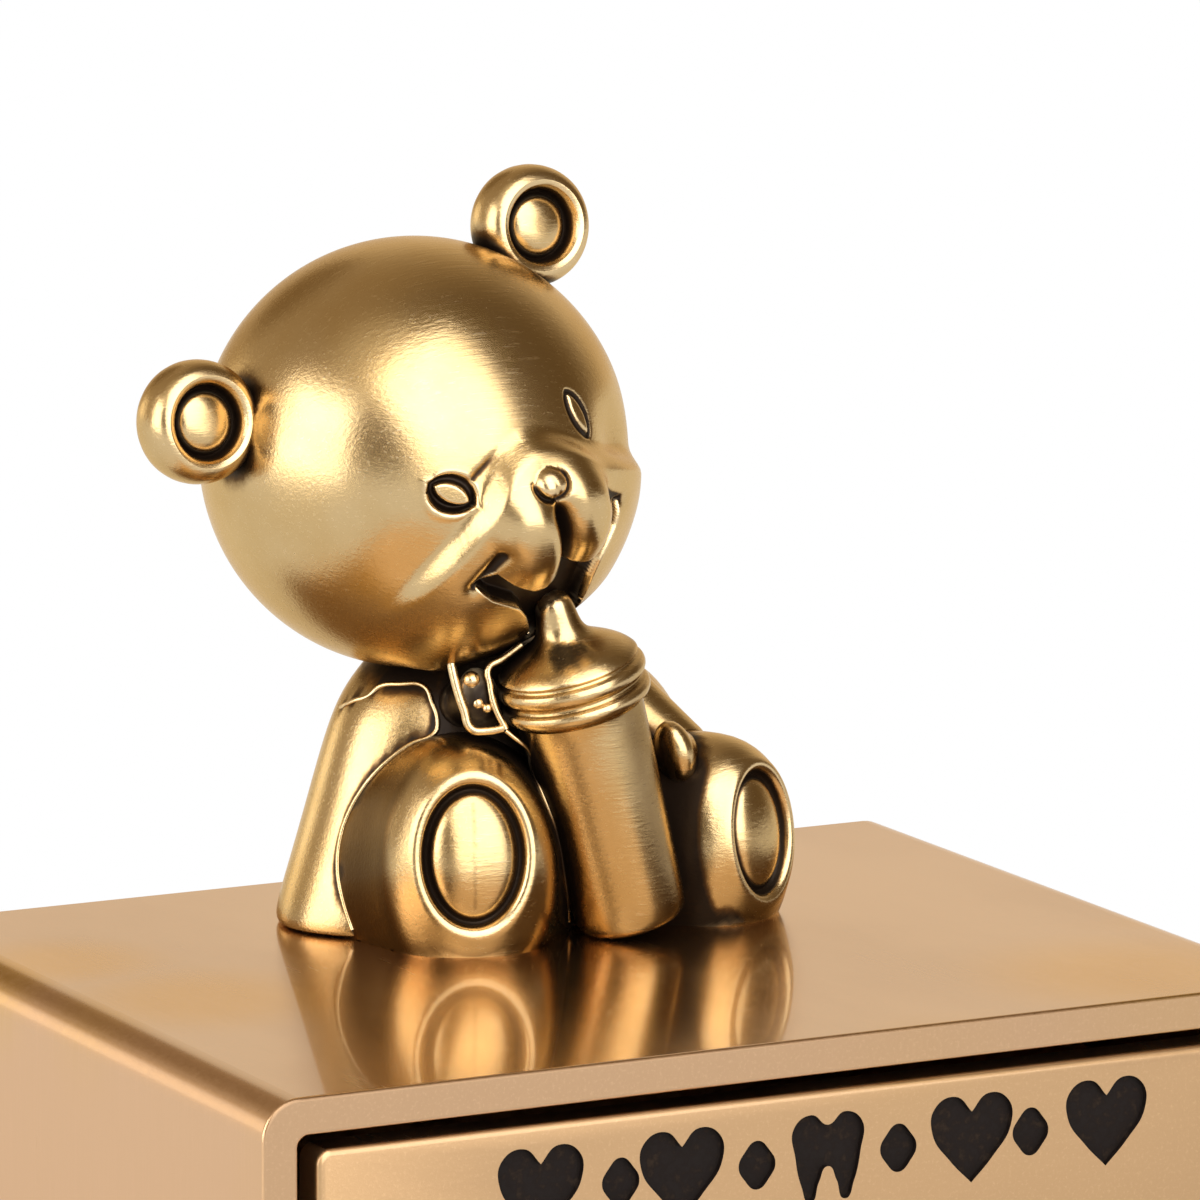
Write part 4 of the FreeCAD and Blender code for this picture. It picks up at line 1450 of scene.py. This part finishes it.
@dataclass
class Leg:
    """Leg with a flat-edged sole, and a domed pad in an oval groove.

    Args:
        pose: Frames of the figure.
        side: -1 for the bear's right leg, 1 for its left.
        spread: Distance of the sole from the figure's middle.
        scale: Size of the sections against the right leg's.
        line: Half width of the dark line in the groove, against the groove's radius.
        dome: Height of the pad.
        apex: How far the pad's highest point lies to the bear's left.
        splay: Turn of the leg outwards, in degrees.
        reach: Distance of the sole in front of the figure's middle.
        lean: Tilt of the sole, in degrees.
        rise: Height of the pad's middle over the plate.
        pad: Sections of the pad: drop against the dome, half width, and share of the apex's shift.
        sole: Sections from the groove back to the hip: depth, rise, half width and half height.
    """

    pose: Pose
    side: int
    spread: float
    scale: float
    line: float
    dome: float
    apex: float
    splay: float = 22.5
    reach: float = 11.0
    lean: float = 7.0
    rise: float = 5.3
    pad: Tuple[Triple, ...] = ((0.02, 0.35, 1.0), (0.15, 0.95, 0.93), (0.58, 1.65, 0.62), (1.0, 2.08, 0.2))
    sole: Tuple[Tuple[float, float, float, float], ...] = (
        (0.42, 5.3, 2.26, 3.25), (0.56, 5.3, 2.42, 3.42), (0.40, 5.3, 2.58, 3.60),
        (0.04, 5.3, 2.70, 3.74), (-0.10, 5.3, 2.86, 3.92), (-0.12, 5.28, 3.10, 4.20),
        (0.00, 5.25, 3.32, 4.46), (0.32, 5.1, 3.62, 4.90), (0.90, 4.8, 4.15, 5.75),
        (1.9, 4.5, 4.65, 6.55), (3.4, 4.2, 5.0, 7.1), (5.2, 3.8, 5.9, 7.55), (7.2, 3.4, 6.7, 7.8),
        (9.2, 3.4, 6.0, 7.4), (11.0, 3.4, 4.6, 6.4))

    def sections(self) -> List[Ring]:
        """Sections from the middle of the pad out to the sole's edge and back to the hip.

        Returns:
            The sections in order.
        """
        k = self.scale
        rings = [Ring(0.15 - self.dome * (1 - drop), wide * k, wide * 1.46 * k, self.apex * share * k,
                      -self.rise * k) for drop, wide, share in self.pad]
        return rings + [Ring(z, wide * k, tall * k, 0.0, -rise * k) for z, rise, wide, tall in self.sole]

    def frame(self) -> Matrix:
        """Matrix of the leg: its axis runs from the sole back to the hip.

        Returns:
            The matrix, in the part's frame.
        """
        spot = at((self.side * self.spread, -self.reach, 0))
        aim = spin(self.side * self.splay, "Z") @ spin(-self.lean, "X")
        return self.pose.figure_frame() @ spot @ aim @ spin(-90, "X")

    def build(self) -> bpy.types.Object:
        """Loft the leg and cut it flat where it rests on the plate.

        Returns:
            The leg in the part's frame.
        """
        name = "bear_right_leg_casting" if self.side < 0 else "bear_left_leg_casting"
        obj = loft(name, self.sections(), 96)
        tidy(obj)
        subdivide(obj, 1)
        settle(obj, self.frame())
        with editing(obj):
            bpy.ops.mesh.bisect(plane_co=(0, 0, (self.pose.plate - 0.03) * MM), plane_no=(0, 0, 1),
                                use_fill=True, clear_inner=True)
        tidy(obj, 30)
        return obj

    def inside(self, obj: bpy.types.Object) -> np.ndarray:
        """Places of a mesh in the leg's own frame, at the right leg's size, in millimetres."""
        return seen_from(self.frame(), points_of(obj)) / self.scale

    def ink(self, obj: bpy.types.Object) -> np.ndarray:
        """Patina round each pad, a dark line painted down the right pad, and painted shadow by the bottle
        and plate on the left leg.

        Args:
            obj: The leg.

        Returns:
            A number for each vertex.
        """
        x, y, deep = self.inside(obj).T
        ring = np.hypot(x / 2.43, (y + self.rise) / 3.43)
        groove = np.exp(-((ring - 1.0) / self.line) ** 2) * (deep < 1.4)
        if self.side < 0:
            # A thin dark line painted down the pad's middle, where the shape has no crease.
            crease = np.exp(-(x / 0.2) ** 2) * (ring < 0.85) * (deep < 1.4)
            return np.maximum(groove, 0.2 * crease)
        # Painted shadow in the gap beside the bottle, and painted shade close to the plate.
        gap = ease(deep, 0.7, 2.2) * ease(-x, 1.3, 3.2)
        seat = (1 - ease(-y, 0.5, 2.2)) * ease(deep, 0.1, 0.8)
        return np.maximum(groove, np.maximum(0.75 * gap, 0.5 * seat))

    def shade(self, obj: bpy.types.Object) -> np.ndarray:
        """Painted shade on the leg's outer side behind the sole, and close to the plate, from 0 to 1.

        Args:
            obj: The leg.

        Returns:
            A number for each vertex.
        """
        x, y, deep = self.inside(obj).T
        flank = ease(deep, 0.5, 2.0) * ease(self.side * x, -0.8, 2.0) * ease(y + self.rise, -6.2, -2.6)
        foot = (1 - ease(-y, 0.3, 1.9)) * ease(deep, -0.1, 0.4)
        return np.maximum(0.95 * flank, 0.6 * foot)


@dataclass
class Bottle:
    """Feeding bottle with a ridged collar, a dome and a teat in the bear's mouth.

    Args:
        pose: Frames of the figure.
        foot: Middle of its foot in the figure's frame.
        mouth: End of the teat in the head's frame.
        held: Way to the side that the other paw holds.
        profile: Levels over the foot and radii, from the foot to the neck of the teat.
        teat: Levels against the teat's tip and radii.
        bite: How far the tip goes past the mouth's point.
    """

    pose: Pose
    foot: Triple = (2.0, -9.5, 0.55)
    mouth: Triple = (0.0, -7.5, -8.3)
    held: Triple = (0.98, -0.17, 0.0)
    profile: Tuple[Pair, ...] = (
        (0.0, 0.6), (0.0, 2.1), (0.1, 2.55), (0.45, 2.86), (1.1, 2.97), (4.0, 3.06), (8.0, 3.2),
        (11.6, 3.32), (12.1, 3.36), (12.25, 3.52), (12.38, 3.82), (12.7, 3.95), (13.02, 3.88),
        (13.14, 3.62), (13.3, 3.58), (13.46, 3.64), (13.6, 3.88), (13.9, 3.95), (14.22, 3.86),
        (14.34, 3.62), (14.46, 3.58), (14.6, 3.72), (14.78, 3.6), (15.1, 3.3), (15.5, 2.7),
        (15.85, 2.0), (16.15, 1.5), (16.6, 1.2), (17.3, 1.08))
    teat: Tuple[Pair, ...] = ((-1.1, 1.05), (-0.5, 0.95), (-0.15, 0.65), (0.0, 0.25))
    bite: float = 0.3

    def ends(self) -> Tuple[Vector, Vector]:
        """Foot and mouth points in the part's frame, in metres."""
        return (self.pose.figure_frame() @ (Vector(self.foot) * MM),
                self.pose.head_frame() @ (Vector(self.mouth) * MM))

    def frame(self) -> Matrix:
        """Matrix of the bottle: its axis runs from the foot to the mouth."""
        foot, mouth = self.ends()
        return Matrix.Translation(foot) @ (mouth - foot).to_track_quat("Z", "Y").to_matrix().to_4x4()

    def build(self) -> bpy.types.Object:
        """Turn the bottle's profile about its axis.

        Returns:
            The bottle in the part's frame.
        """
        foot, mouth = self.ends()
        tip = (mouth - foot).length / MM + self.bite
        profile = [*self.profile, *((tip + level, radius) for level, radius in self.teat)]
        obj = turned("feeding_bottle_casting", profile, 72)
        settle(obj, self.frame())
        tidy(obj, 50)
        return obj

    def shade(self, obj: bpy.types.Object) -> np.ndarray:
        """Painted shade down the side that the other paw holds, from 0 to 1."""
        return 0.55 * ease(normals_of(obj) @ np.array(self.held), 0.05, 0.55)


@dataclass
class Arm:
    """Short arm with a rounded cuff, a wrist and a paw on the bottle.

    Args:
        pose: Frames of the figure.
        side: -1 for the bear's right arm, 1 for its left.
        path: Shoulder, cuff and wrist in the figure's frame.
        thick: Radii at the shoulder, the cuff and the wrist.
        paw: Middle and radii of the paw, in the same frame.
        rims: Raised edges round the paw's hollow.
        beads: Middles and radii of the small lumps in the hollow.
        lean: Turn of the paw about the figure's y axis, in degrees.
    """

    pose: Pose
    side: int
    path: Tuple[Triple, Triple, Triple]
    thick: Triple
    paw: Tuple[Triple, Triple]
    rims: Tuple[Seam, ...] = ()
    beads: Tuple[Tuple[Triple, float], ...] = ()
    lean: float = -15.8

    def build(self) -> bpy.types.Object:
        """Flow the arm's lumps together and lay the edges of the paw on them.

        Returns:
            The arm in the part's frame.
        """
        name = "bear_right_arm_casting" if self.side < 0 else "bear_left_arm_casting"
        shoulder, cuff, wrist = self.path
        broad, narrow, thin = self.thick
        lumps = [ball("shoulder", shoulder, (broad,) * 3), rod("sleeve", shoulder, cuff, broad, narrow),
                 ball("cuff", cuff, (narrow,) * 3), rod("wrist", cuff, wrist, thin, thin),
                 ball("joint", wrist, (thin,) * 3), rod("palm", wrist, self.paw[0], thin, thin),
                 ball("paw", *self.paw, (0, self.lean, 0))]
        obj = fuse(name, lumps, voxel=0.15, passes=3)
        edges = [seam.build() for seam in self.rims]
        edges += [ball("bead", middle, (size,) * 3, segments=24) for middle, size in self.beads]
        obj = merge(name, [obj, *edges])
        settle(obj, self.pose.figure_frame())
        tidy(obj, 60)
        return obj

    def ink(self, obj: bpy.types.Object) -> np.ndarray:
        """Patina in the paw's hollow and painted shade over the rest of an arm with rims, from 0 to 1.

        Args:
            obj: The arm.

        Returns:
            A number for each vertex.
        """
        places = self.pose.in_figure(points_of(obj))
        # Painted shade over the whole arm when it has rims, with the patina of the paw's hollow; rims and
        # beads stay bright.
        dark = np.full(len(places), 0.9 if self.rims else 0.0)
        for seam in self.rims:
            dark *= from_path(places, seam.path) > 1.4 * seam.thick
        for middle, size in self.beads:
            dark *= np.linalg.norm(places - np.array(middle), axis=1) > 1.1 * size
        return dark


@dataclass
class Bear:
    """The seated figure: castings that stand for the CAD nodes of the same names.

    Args:
        pose: Frames of the figure.
        rims: Raised edges round the right paw's hollow.
        beads: Middles and radii of the small lumps in that hollow.
    """

    pose: Pose
    rims: Tuple[Seam, ...] = (
        Seam(((-7.6, -7.1, 14.9), (-7.52, -7.3, 14.1), (-7.42, -7.49, 13.4), (-7.22, -7.83, 12.39),
              (-6.95, -8.15, 11.4), (-6.3, -8.55, 11.3), (-5.55, -9.0, 11.45)), 0.24),
        Seam(((-4.35, -8.8, 15.7), (-5.3, -8.4, 14.95), (-5.95, -8.15, 14.5), (-5.97, -8.3, 13.7),
              (-5.86, -8.6, 12.6), (-5.45, -9.05, 11.4)), 0.19))
    beads: Tuple[Tuple[Triple, float], ...] = (
        ((-6.72, -7.72, 13.9), 0.46), ((-6.5, -8.0, 12.7), 0.34), ((-6.12, -8.3, 12.45), 0.28))

    def build(self) -> List[bpy.types.Object]:
        """Model every casting, then settle the patina and painted shade over all of them.

        Returns:
            The castings.
        """
        head, face_ink = Head(self.pose).build()
        legs = [Leg(self.pose, -1, spread=8.4, scale=1.0, line=0.042, dome=0.55, apex=-0.45),
                Leg(self.pose, 1, spread=9.5, scale=0.89, line=0.085, dome=0.5, apex=0.0)]
        feet = [leg.build() for leg in legs]
        right = Arm(self.pose, -1, path=((-5.0, -2.6, 11.4), (-5.3, -4.6, 12.0), (-5.7, -6.2, 12.5)),
                    thick=(1.4, 1.3, 1.1), paw=((-6.1, -7.45, 12.75), (1.15, 0.85, 1.75)),
                    rims=self.rims, beads=self.beads)
        left = Arm(self.pose, 1, path=((4.5, -1.7, 11.2), (7.7, -4.4, 8.1), (6.4, -6.6, 8.6)),
                   thick=(2.5, 1.85, 1.2), paw=((5.2, -8.4, 9.0), (0.95, 1.35, 1.75)))
        trunk, bottle = Trunk(self.pose), Bottle(self.pose)
        body, flask, arms = trunk.build(), bottle.build(), [right.build(), left.build()]
        pieces = [head, body, *feet, flask, *arms]
        patina_and_shade_marks = {foot.name: leg.ink(foot) for leg, foot in zip(legs, feet)}
        patina_and_shade_marks.update({arm.name: maker.ink(arm) for maker, arm in zip((right, left), arms)})
        patina_and_shade_marks.update({head.name: face_ink, body.name: trunk.ink(body)})
        # Painted shade on the legs' outer sides and on the bottle's held side.
        shades = {foot.name: leg.shade(foot) for leg, foot in zip(legs, feet)}
        shades[flask.name] = bottle.shade(flask)
        Patina().stain(pieces, patina_and_shade_marks, shades)
        return pieces

    def dress(self, pieces: Sequence[bpy.types.Object]) -> None:
        """Give the castings their plating and hand them over.

        Args:
            pieces: The castings.
        """
        strokes = {"bear_head": (0, 35, 20), "bear_torso": (0, 80, 0), "feeding_bottle": (0, 85, 0),
                   "bear_right_leg": (0, 78, 0), "bear_left_leg": (0, 82, 0)}
        for obj in pieces:
            node = obj.name.replace("_casting", "")
            coat(obj, FigureBrass(node + "_plating", stroke=strokes.get(node, (0, 40, 0))).make())
            hand_over(obj, Body.CASE, Slot.BRASS, node)


# Drawer


class Motif(Enum):
    """Generic engraved shapes along the drawer front, as half outlines to mirror."""

    HEART = ((0.0, 0.62), (0.42, 1.0), (0.95, 0.78), (1.0, 0.2), (0.55, -0.45), (0.0, -1.0))
    TOOTH = ((0.0, 0.72), (0.42, 0.98), (0.86, 0.72), (0.82, 0.05), (0.66, -0.62), (0.44, -1.0),
             (0.22, -0.55), (0.0, -0.22))
    DROP = ((0.0, 0.55), (0.32, 0.3), (0.46, 0.0), (0.32, -0.3), (0.0, -0.55))


@dataclass(frozen=True)
class ClothPad:
    """Thin cloth-covered pad, flat below and crowned above, in millimetres.

    Args:
        name: Name of the pad.
        crown: How far the top stands over its edge.
        corner: Radius of its corners in plan.
        waist: How far the long and the short sides pull in between the corners, as shares.
        slope: Width of the rounded edge, against half the pad.
        ripple: Height of the slight waves on top.
        hem: Rounding of the sharp edges.
    """

    name: str
    crown: float
    corner: float
    waist: Pair = (0.008, 0.010)
    slope: float = 0.10
    ripple: float = 0.03
    hem: float = 0.18

    def build(self, node: str) -> bpy.types.Object:
        """Model the pad.

        Args:
            node: CAD node whose room it fills.

        Returns:
            The pad in the part's frame.
        """
        low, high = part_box(node)
        deselect()
        bpy.ops.mesh.primitive_grid_add(x_subdivisions=72, y_subdivisions=56, size=2)
        obj = named(self.name)
        with editing(obj):
            bpy.ops.mesh.extrude_region_move(TRANSFORM_OT_translate={"value": (0, 0, 1)})
        u, v, level = (points_of(obj) * MM).T
        size = np.array(high - low) / MM
        plan = np.stack([u, v], 1) * size[:2] / 2
        inner = size[:2] / 2 - self.corner
        over = np.maximum(np.abs(plan) - inner, 0)
        length = np.linalg.norm(over, axis=1)
        pull = np.where(length > 0, over.max(1) / np.maximum(length, 1e-9), 1.0)
        plan = np.sign(plan) * (np.minimum(np.abs(plan), inner) + over * pull[:, None])
        plan *= 1 - np.array(self.waist) * (1 - np.stack([v, u], 1) ** 2)
        edge = np.clip(np.minimum(1 - np.abs(u), 1 - np.abs(v)) / self.slope, 0, 1)
        rise = size[2] - self.crown + self.crown * np.sin(edge * math.pi / 2)
        rise = rise - self.ripple * (1 + np.sin(u * 9.1 + 1.3 * v) * np.cos(v * 7.3 - u))
        z = np.where(level > 0.5, rise, 0.0) + low.z / MM
        middle = np.array((low + high) / 2) / MM
        put_points(obj, np.column_stack([plan + middle[:2], z]))
        shape(obj, "BEVEL", width=self.hem * MM, segments=2, limit_method="ANGLE", angle_limit=1.0)
        tidy(obj, 60)
        return obj


@dataclass
class Drawer:
    """Sliding drawer: engraved front, brushed tray and a velvet pad.

    Args:
        motif_level: Level of the engraved row, in millimetres.
        motif_half: Half height of a motif, in millimetres.
        depth: Depth of the engraving, in millimetres.
        row: Places of the motifs across the front, in millimetres, and their names.
    """

    motif_level: float = 23.9
    motif_half: float = 2.25
    depth: float = 0.32
    row: Tuple[Tuple[float, str], ...] = (
        (-15.0, "HEART"), (-10.6, "DROP"), (-7.2, "HEART"), (-3.0, "DROP"), (1.0, "TOOTH"),
        (5.0, "DROP"), (9.2, "HEART"), (12.6, "DROP"), (17.0, "HEART"))

    def cutter(self, motif: Motif, x: float, fill: bpy.types.Material) -> bpy.types.Object:
        """A closed prism in the outline of one motif, on the front's face.

        Args:
            motif: The outline.
            x: Its middle across the front, in millimetres.
            fill: Material of the recess.

        Returns:
            The cutter, reaching the engraving's depth into the front.
        """
        half = list(motif.value)
        outline = half + [(-a, b) for a, b in reversed(half[1:-1])]
        sharp = (half[0], half[-1]) if motif is Motif.HEART else ()
        obj = bent("motif", [(a * self.motif_half, b * self.motif_half, 0) for a, b in outline],
                   ["VECTOR" if place in sharp else "AUTO" for place in outline], True,
                   dimensions="2D", fill_mode="BOTH", extrude=self.depth * MM, resolution_u=8)
        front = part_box("drawer_front")[0].y
        settle(obj, Matrix.Translation((x * MM, front, self.motif_level * MM)) @ spin(90, "X"))
        tidy(obj, 30)
        coat(obj, fill)
        return obj

    def build_front(self, brass: bpy.types.Material, fill: bpy.types.Material) -> bpy.types.Object:
        """Model the front plate with rounded edges and engrave it.

        Args:
            brass: Material of the plate.
            fill: Material of the engraved hollows.

        Returns:
            The plate in the part's frame.
        """
        low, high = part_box("drawer_front")
        deselect()
        bpy.ops.mesh.primitive_cube_add(size=1)
        obj = named("drawer_front_plate")
        settle(obj, Matrix.Translation((low + high) / 2) @ Matrix.Diagonal((*(high - low), 1)))
        self.round_edges(obj, lambda a, b: abs(a.y - b.y) > 1e-5, radius=0.8, segments=6)
        self.round_edges(obj, lambda a, b: max(a.y, b.y) < low.y + 1e-5, radius=0.35, segments=4)
        coat(obj, brass, fill)
        for x, name in self.row:
            combine(obj, self.cutter(Motif[name], x, fill), "DIFFERENCE")
        tidy(obj, 35)
        return obj

    def round_edges(self, obj: bpy.types.Object, test: Callable[[Vector, Vector], bool],
                    radius: float, segments: int) -> None:
        """Bevel the edges whose two ends pass a test.

        Args:
            obj: The piece.
            test: Says from an edge's two ends whether it is rounded.
            radius: Width of the bevel in millimetres.
            segments: Steps across it.
        """
        corners = obj.data.vertices
        pick(obj, "EDGE", [test(*(corners[i].co for i in edge.vertices)) for edge in obj.data.edges])
        with editing(obj, whole=False):
            bpy.ops.mesh.bevel(offset=radius * MM, segments=segments, affect="EDGES")

    def build(self) -> None:
        """Model and dress the drawer."""
        # Painted shade: the drawer's plating is a darker copy of the case's plating.
        brass = CaseBrass("drawer_brass", tan=(0.56, 0.35, 0.175), golden=(0.56, 0.35, 0.12), satin=0.38,
                          lay=Lay.ALONG_X).make()
        front = self.build_front(brass, Enamel("engraving_enamel").make())
        hand_over(front, Body.DRAWER, Slot.BRASS, "drawer_front")
        pad = ClothPad("velvet_pad", crown=0.35, corner=1.6).build("drawer_lining")
        coat(pad, Nap("velvet_nap", colour=(0.020, 0.012, 0.012), bright=(0.075, 0.048, 0.045),
                      sheen=0.9, fibre=3800).make())
        hand_over(pad, Body.DRAWER, Slot.VELVET, "drawer_lining")
        nodes = frame["nodes"]
        coat(nodes["drawer_tray"], CaseBrass("tray_brass", polish=0.3, satin=0.4, lay=Lay.ALONG_X).make())
        coat(nodes["drawer_knob"], CaseBrass("knob_brass", polish=0.2, satin=0.2, lay=Lay.ALONG_X).make())
        coat(nodes["knob_screw"], PlatedSteel("knob_screw_steel").make())
        coat(nodes["tray_rivets"], PlatedSteel("rivet_brass", colour=(0.78, 0.55, 0.27),
                                               roughness=0.28).make())


# Case


@dataclass
class Case:
    """Sleeve case with its back panel and the felt under it."""

    def build(self) -> None:
        """Dress the sleeve and panel, and lay the felt."""
        nodes = frame["nodes"]
        pools = ((-23.0, -1.0, 30.0, 9.0), (-26.0, 10.0, 30.0, 7.0), (22.0, -17.0, 30.0, 11.0))
        coat(nodes["case_sleeve"], CaseBrass("sleeve_brass", lay=Lay.ALONG_Z, pools=pools).make())
        coat(nodes["back_panel"], CaseBrass("panel_brass", satin=0.38, lay=Lay.ALONG_Z).make())
        coat(nodes["figure_screws"], PlatedSteel("figure_screw_steel").make())
        felt = ClothPad("felt_sheet", crown=0.12, corner=3.0).build("base_felt")
        coat(felt, Nap("felt_nap", colour=(0.030, 0.024, 0.020), bright=(0.085, 0.070, 0.060),
                       sheen=0.35, fibre=2600).make())
        hand_over(felt, Body.CASE, Slot.FELT, "base_felt")


# Studio


@dataclass
class Studio:
    """Camera, lamps, surroundings and floor.

    Args:
        azimuth: Camera's turn about the part, in degrees.
        elevation: Camera's height angle, in degrees.
        roll: Camera's roll, in degrees.
        lens: Focal length on a 36 mm sensor.
        place: Camera's place in millimetres.
        aim: Point that the lamps look at, in millimetres.
        room: Colour of the surroundings, before their darker and lighter parts.
    """

    azimuth: float = -27.57
    elevation: float = 10.38
    roll: float = 0.16
    lens: float = 277.8
    place: Triple = (-215.77, -413.09, 133.71)
    aim: Triple = (-2.0, 5.0, 48.0)
    room: Colour = (0.91, 0.80, 0.665)

    def axes(self) -> Tuple[Vector, Vector, Vector]:
        """Right, up and backward directions of the camera.

        Returns:
            Three unit vectors.
        """
        a, e, r = (math.radians(x) for x in (self.azimuth, self.elevation, self.roll))
        back = Vector((math.sin(a) * math.cos(e), -math.cos(a) * math.cos(e), math.sin(e)))
        right = (-back).cross(Vector((0, 0, 1))).normalized()
        up = right.cross(-back)
        return (math.cos(r) * right + math.sin(r) * up, math.cos(r) * up - math.sin(r) * right, back)

    def add_camera(self) -> None:
        """Set the camera at the photograph's view."""
        data = bpy.data.cameras.new("camera")
        data.lens = self.lens
        data.sensor_width = 36
        data.clip_start = 0.01
        camera = put_in_scene("camera", data)
        camera.matrix_world = at(self.place) @ Matrix(self.axes()).transposed().to_4x4()
        bpy.context.scene.camera = camera

    def add_softbox(self, name: str, across: float, rise: float, toward: float, distance: float,
                    size: Tuple[float, float], tilt: float, power: float) -> bpy.types.Object:
        """Hang a rectangular lamp in a direction given on the camera's axes.

        Args:
            name: Name of the lamp.
            across: Part of its direction to the camera's right.
            rise: Part upwards in the picture.
            toward: Part towards the camera.
            distance: Distance from the aim point in metres.
            size: Width and height in metres.
            tilt: Turn about its own axis, in degrees.
            power: Watts.

        Returns:
            The lamp.
        """
        right, up, back = self.axes()
        direction = (right * across + up * rise + back * toward).normalized()
        data = bpy.data.lights.new(name, "AREA")
        data.shape = "RECTANGLE"
        data.size, data.size_y = size
        data.energy = power
        lamp = put_in_scene(name, data)
        turn = direction.to_track_quat("Z", "Y").to_matrix().to_4x4() @ spin(tilt, "Z")
        lamp.matrix_world = Matrix.Translation(Vector(self.aim) * MM + direction * distance) @ turn
        return lamp

    def flag(self, lamp: bpy.types.Object, node: bpy.types.Object) -> None:
        """Keep a lamp's light off one CAD node, as a black flag on a stand does.

        Args:
            lamp: The lamp.
            node: The CAD node.
        """
        cover = bpy.data.collections.new(lamp.name + "_flag")
        cover.objects.link(node)
        cover.collection_objects[0].light_linking.link_state = "EXCLUDE"
        lamp.light_linking.receiver_collection = cover

    def add_world(self) -> None:
        """White for the camera and for rays through glass, and a dim warm room for reflections."""
        world = bpy.data.worlds.new("room")
        bpy.context.scene.world = world
        w = Wiring(world)
        right, up, back = self.axes()
        rays = w.add("ShaderNodeTexCoord").outputs["Generated"]
        parts = ((back * -0.15 - right, 0.10, 0.80, (0.53, 0.43, 0.31)),
                 (right * 0.95 + back * 0.1, 0.45, 0.92, (0.30, 0.215, 0.12)),
                 (Vector((0, 0, 1)), 0.25, 0.90, (0.40, 0.30, 0.19)),
                 (right * 0.75 + back * 0.45 + up * 0.48, 0.15, 0.80, (0.15, 0.098, 0.045)),
                 (back, 0.25, 0.85, (0.165, 0.115, 0.062)),
                 (up * 0.72 + back * 0.62 - right * 0.25, 0.86, 0.985, (0.75, 0.65, 0.50)),
                 (up * 0.156 - right * 0.809 - back * 0.567, 0.968, 0.990, (2.0, 1.85, 1.6)),
                 (Vector((-0.05, 0.87, 0.49)), 0.955, 0.985, (0.26, 0.18, 0.10)))
        tone = self.room
        for direction, low, high, colour in parts:
            along = w.measure("DOT_PRODUCT", rays, direction.normalized())
            tone = w.blend(w.span(along, low, high), tone, colour)
        path = w.add("ShaderNodeLightPath")
        for ray in ("Is Camera Ray", "Is Transmission Ray"):
            tone = w.blend(path.outputs[ray], tone, (1, 1, 1))
        ground = w.add("ShaderNodeBackground", None, Color=tone, Strength=1.0)
        w.add("ShaderNodeOutputWorld", None, Surface=ground.outputs[0])

    def add_floor(self) -> None:
        """A pale table that keeps the part's shadow."""
        deselect()
        bpy.ops.mesh.primitive_plane_add(size=6, location=(0, 0, 0))
        floor = named("floor")
        w = new_material("table_white")
        paint = w.add("ShaderNodeBsdfDiffuse", None, Color=(0.82, 0.82, 0.82, 1))
        glow = w.add("ShaderNodeEmission", None, Color=(1, 1, 1, 1), Strength=1.0)
        path = w.add("ShaderNodeLightPath")
        seen = path.outputs["Is Camera Ray"]
        for ray in ("Is Glossy Ray", "Is Transmission Ray"):
            seen = w.sum("MAXIMUM", seen, path.outputs[ray])
        glare = w.span(w.measure("LENGTH", w.places()), 0.04, 0.13, 0.60, 1.0)
        mix = w.add("ShaderNodeMixShader", None, Fac=w.sum("MULTIPLY", seen, glare))
        w.feed(mix.inputs[1], paint.outputs[0])
        w.feed(mix.inputs[2], glow.outputs[0])
        w.add("ShaderNodeOutputMaterial", None, Surface=mix.outputs[0])
        coat(floor, w.owner)

    def build(self) -> None:
        """Set up the whole studio."""
        bpy.context.scene.view_settings.view_transform = "Standard"
        self.add_camera()
        front = {"across": 0.369, "rise": 0.333, "toward": 0.868, "size": (0.60, 0.96), "tilt": 20}
        over = self.add_softbox("softbox_over", **front, distance=0.55, power=3.7)
        self.flag(over, frame["nodes"]["case_sleeve"])
        self.add_softbox("softbox_all", **front, distance=0.552, power=2.5)
        self.add_softbox("softbox_left", across=-0.84, rise=0.04, toward=0.54, size=(0.44, 0.56),
                         tilt=0, distance=0.55, power=2.7)
        self.add_world()
        self.add_floor()


def main() -> None:
    """Build the classes in order."""
    logging.basicConfig(level=logging.INFO, format="%(name)s %(message)s")
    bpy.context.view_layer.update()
    Studio().build()
    Case().build()
    Drawer().build()
    bear = Bear(Pose())
    bear.dress(bear.build())


if __name__ == "__main__":
    main()
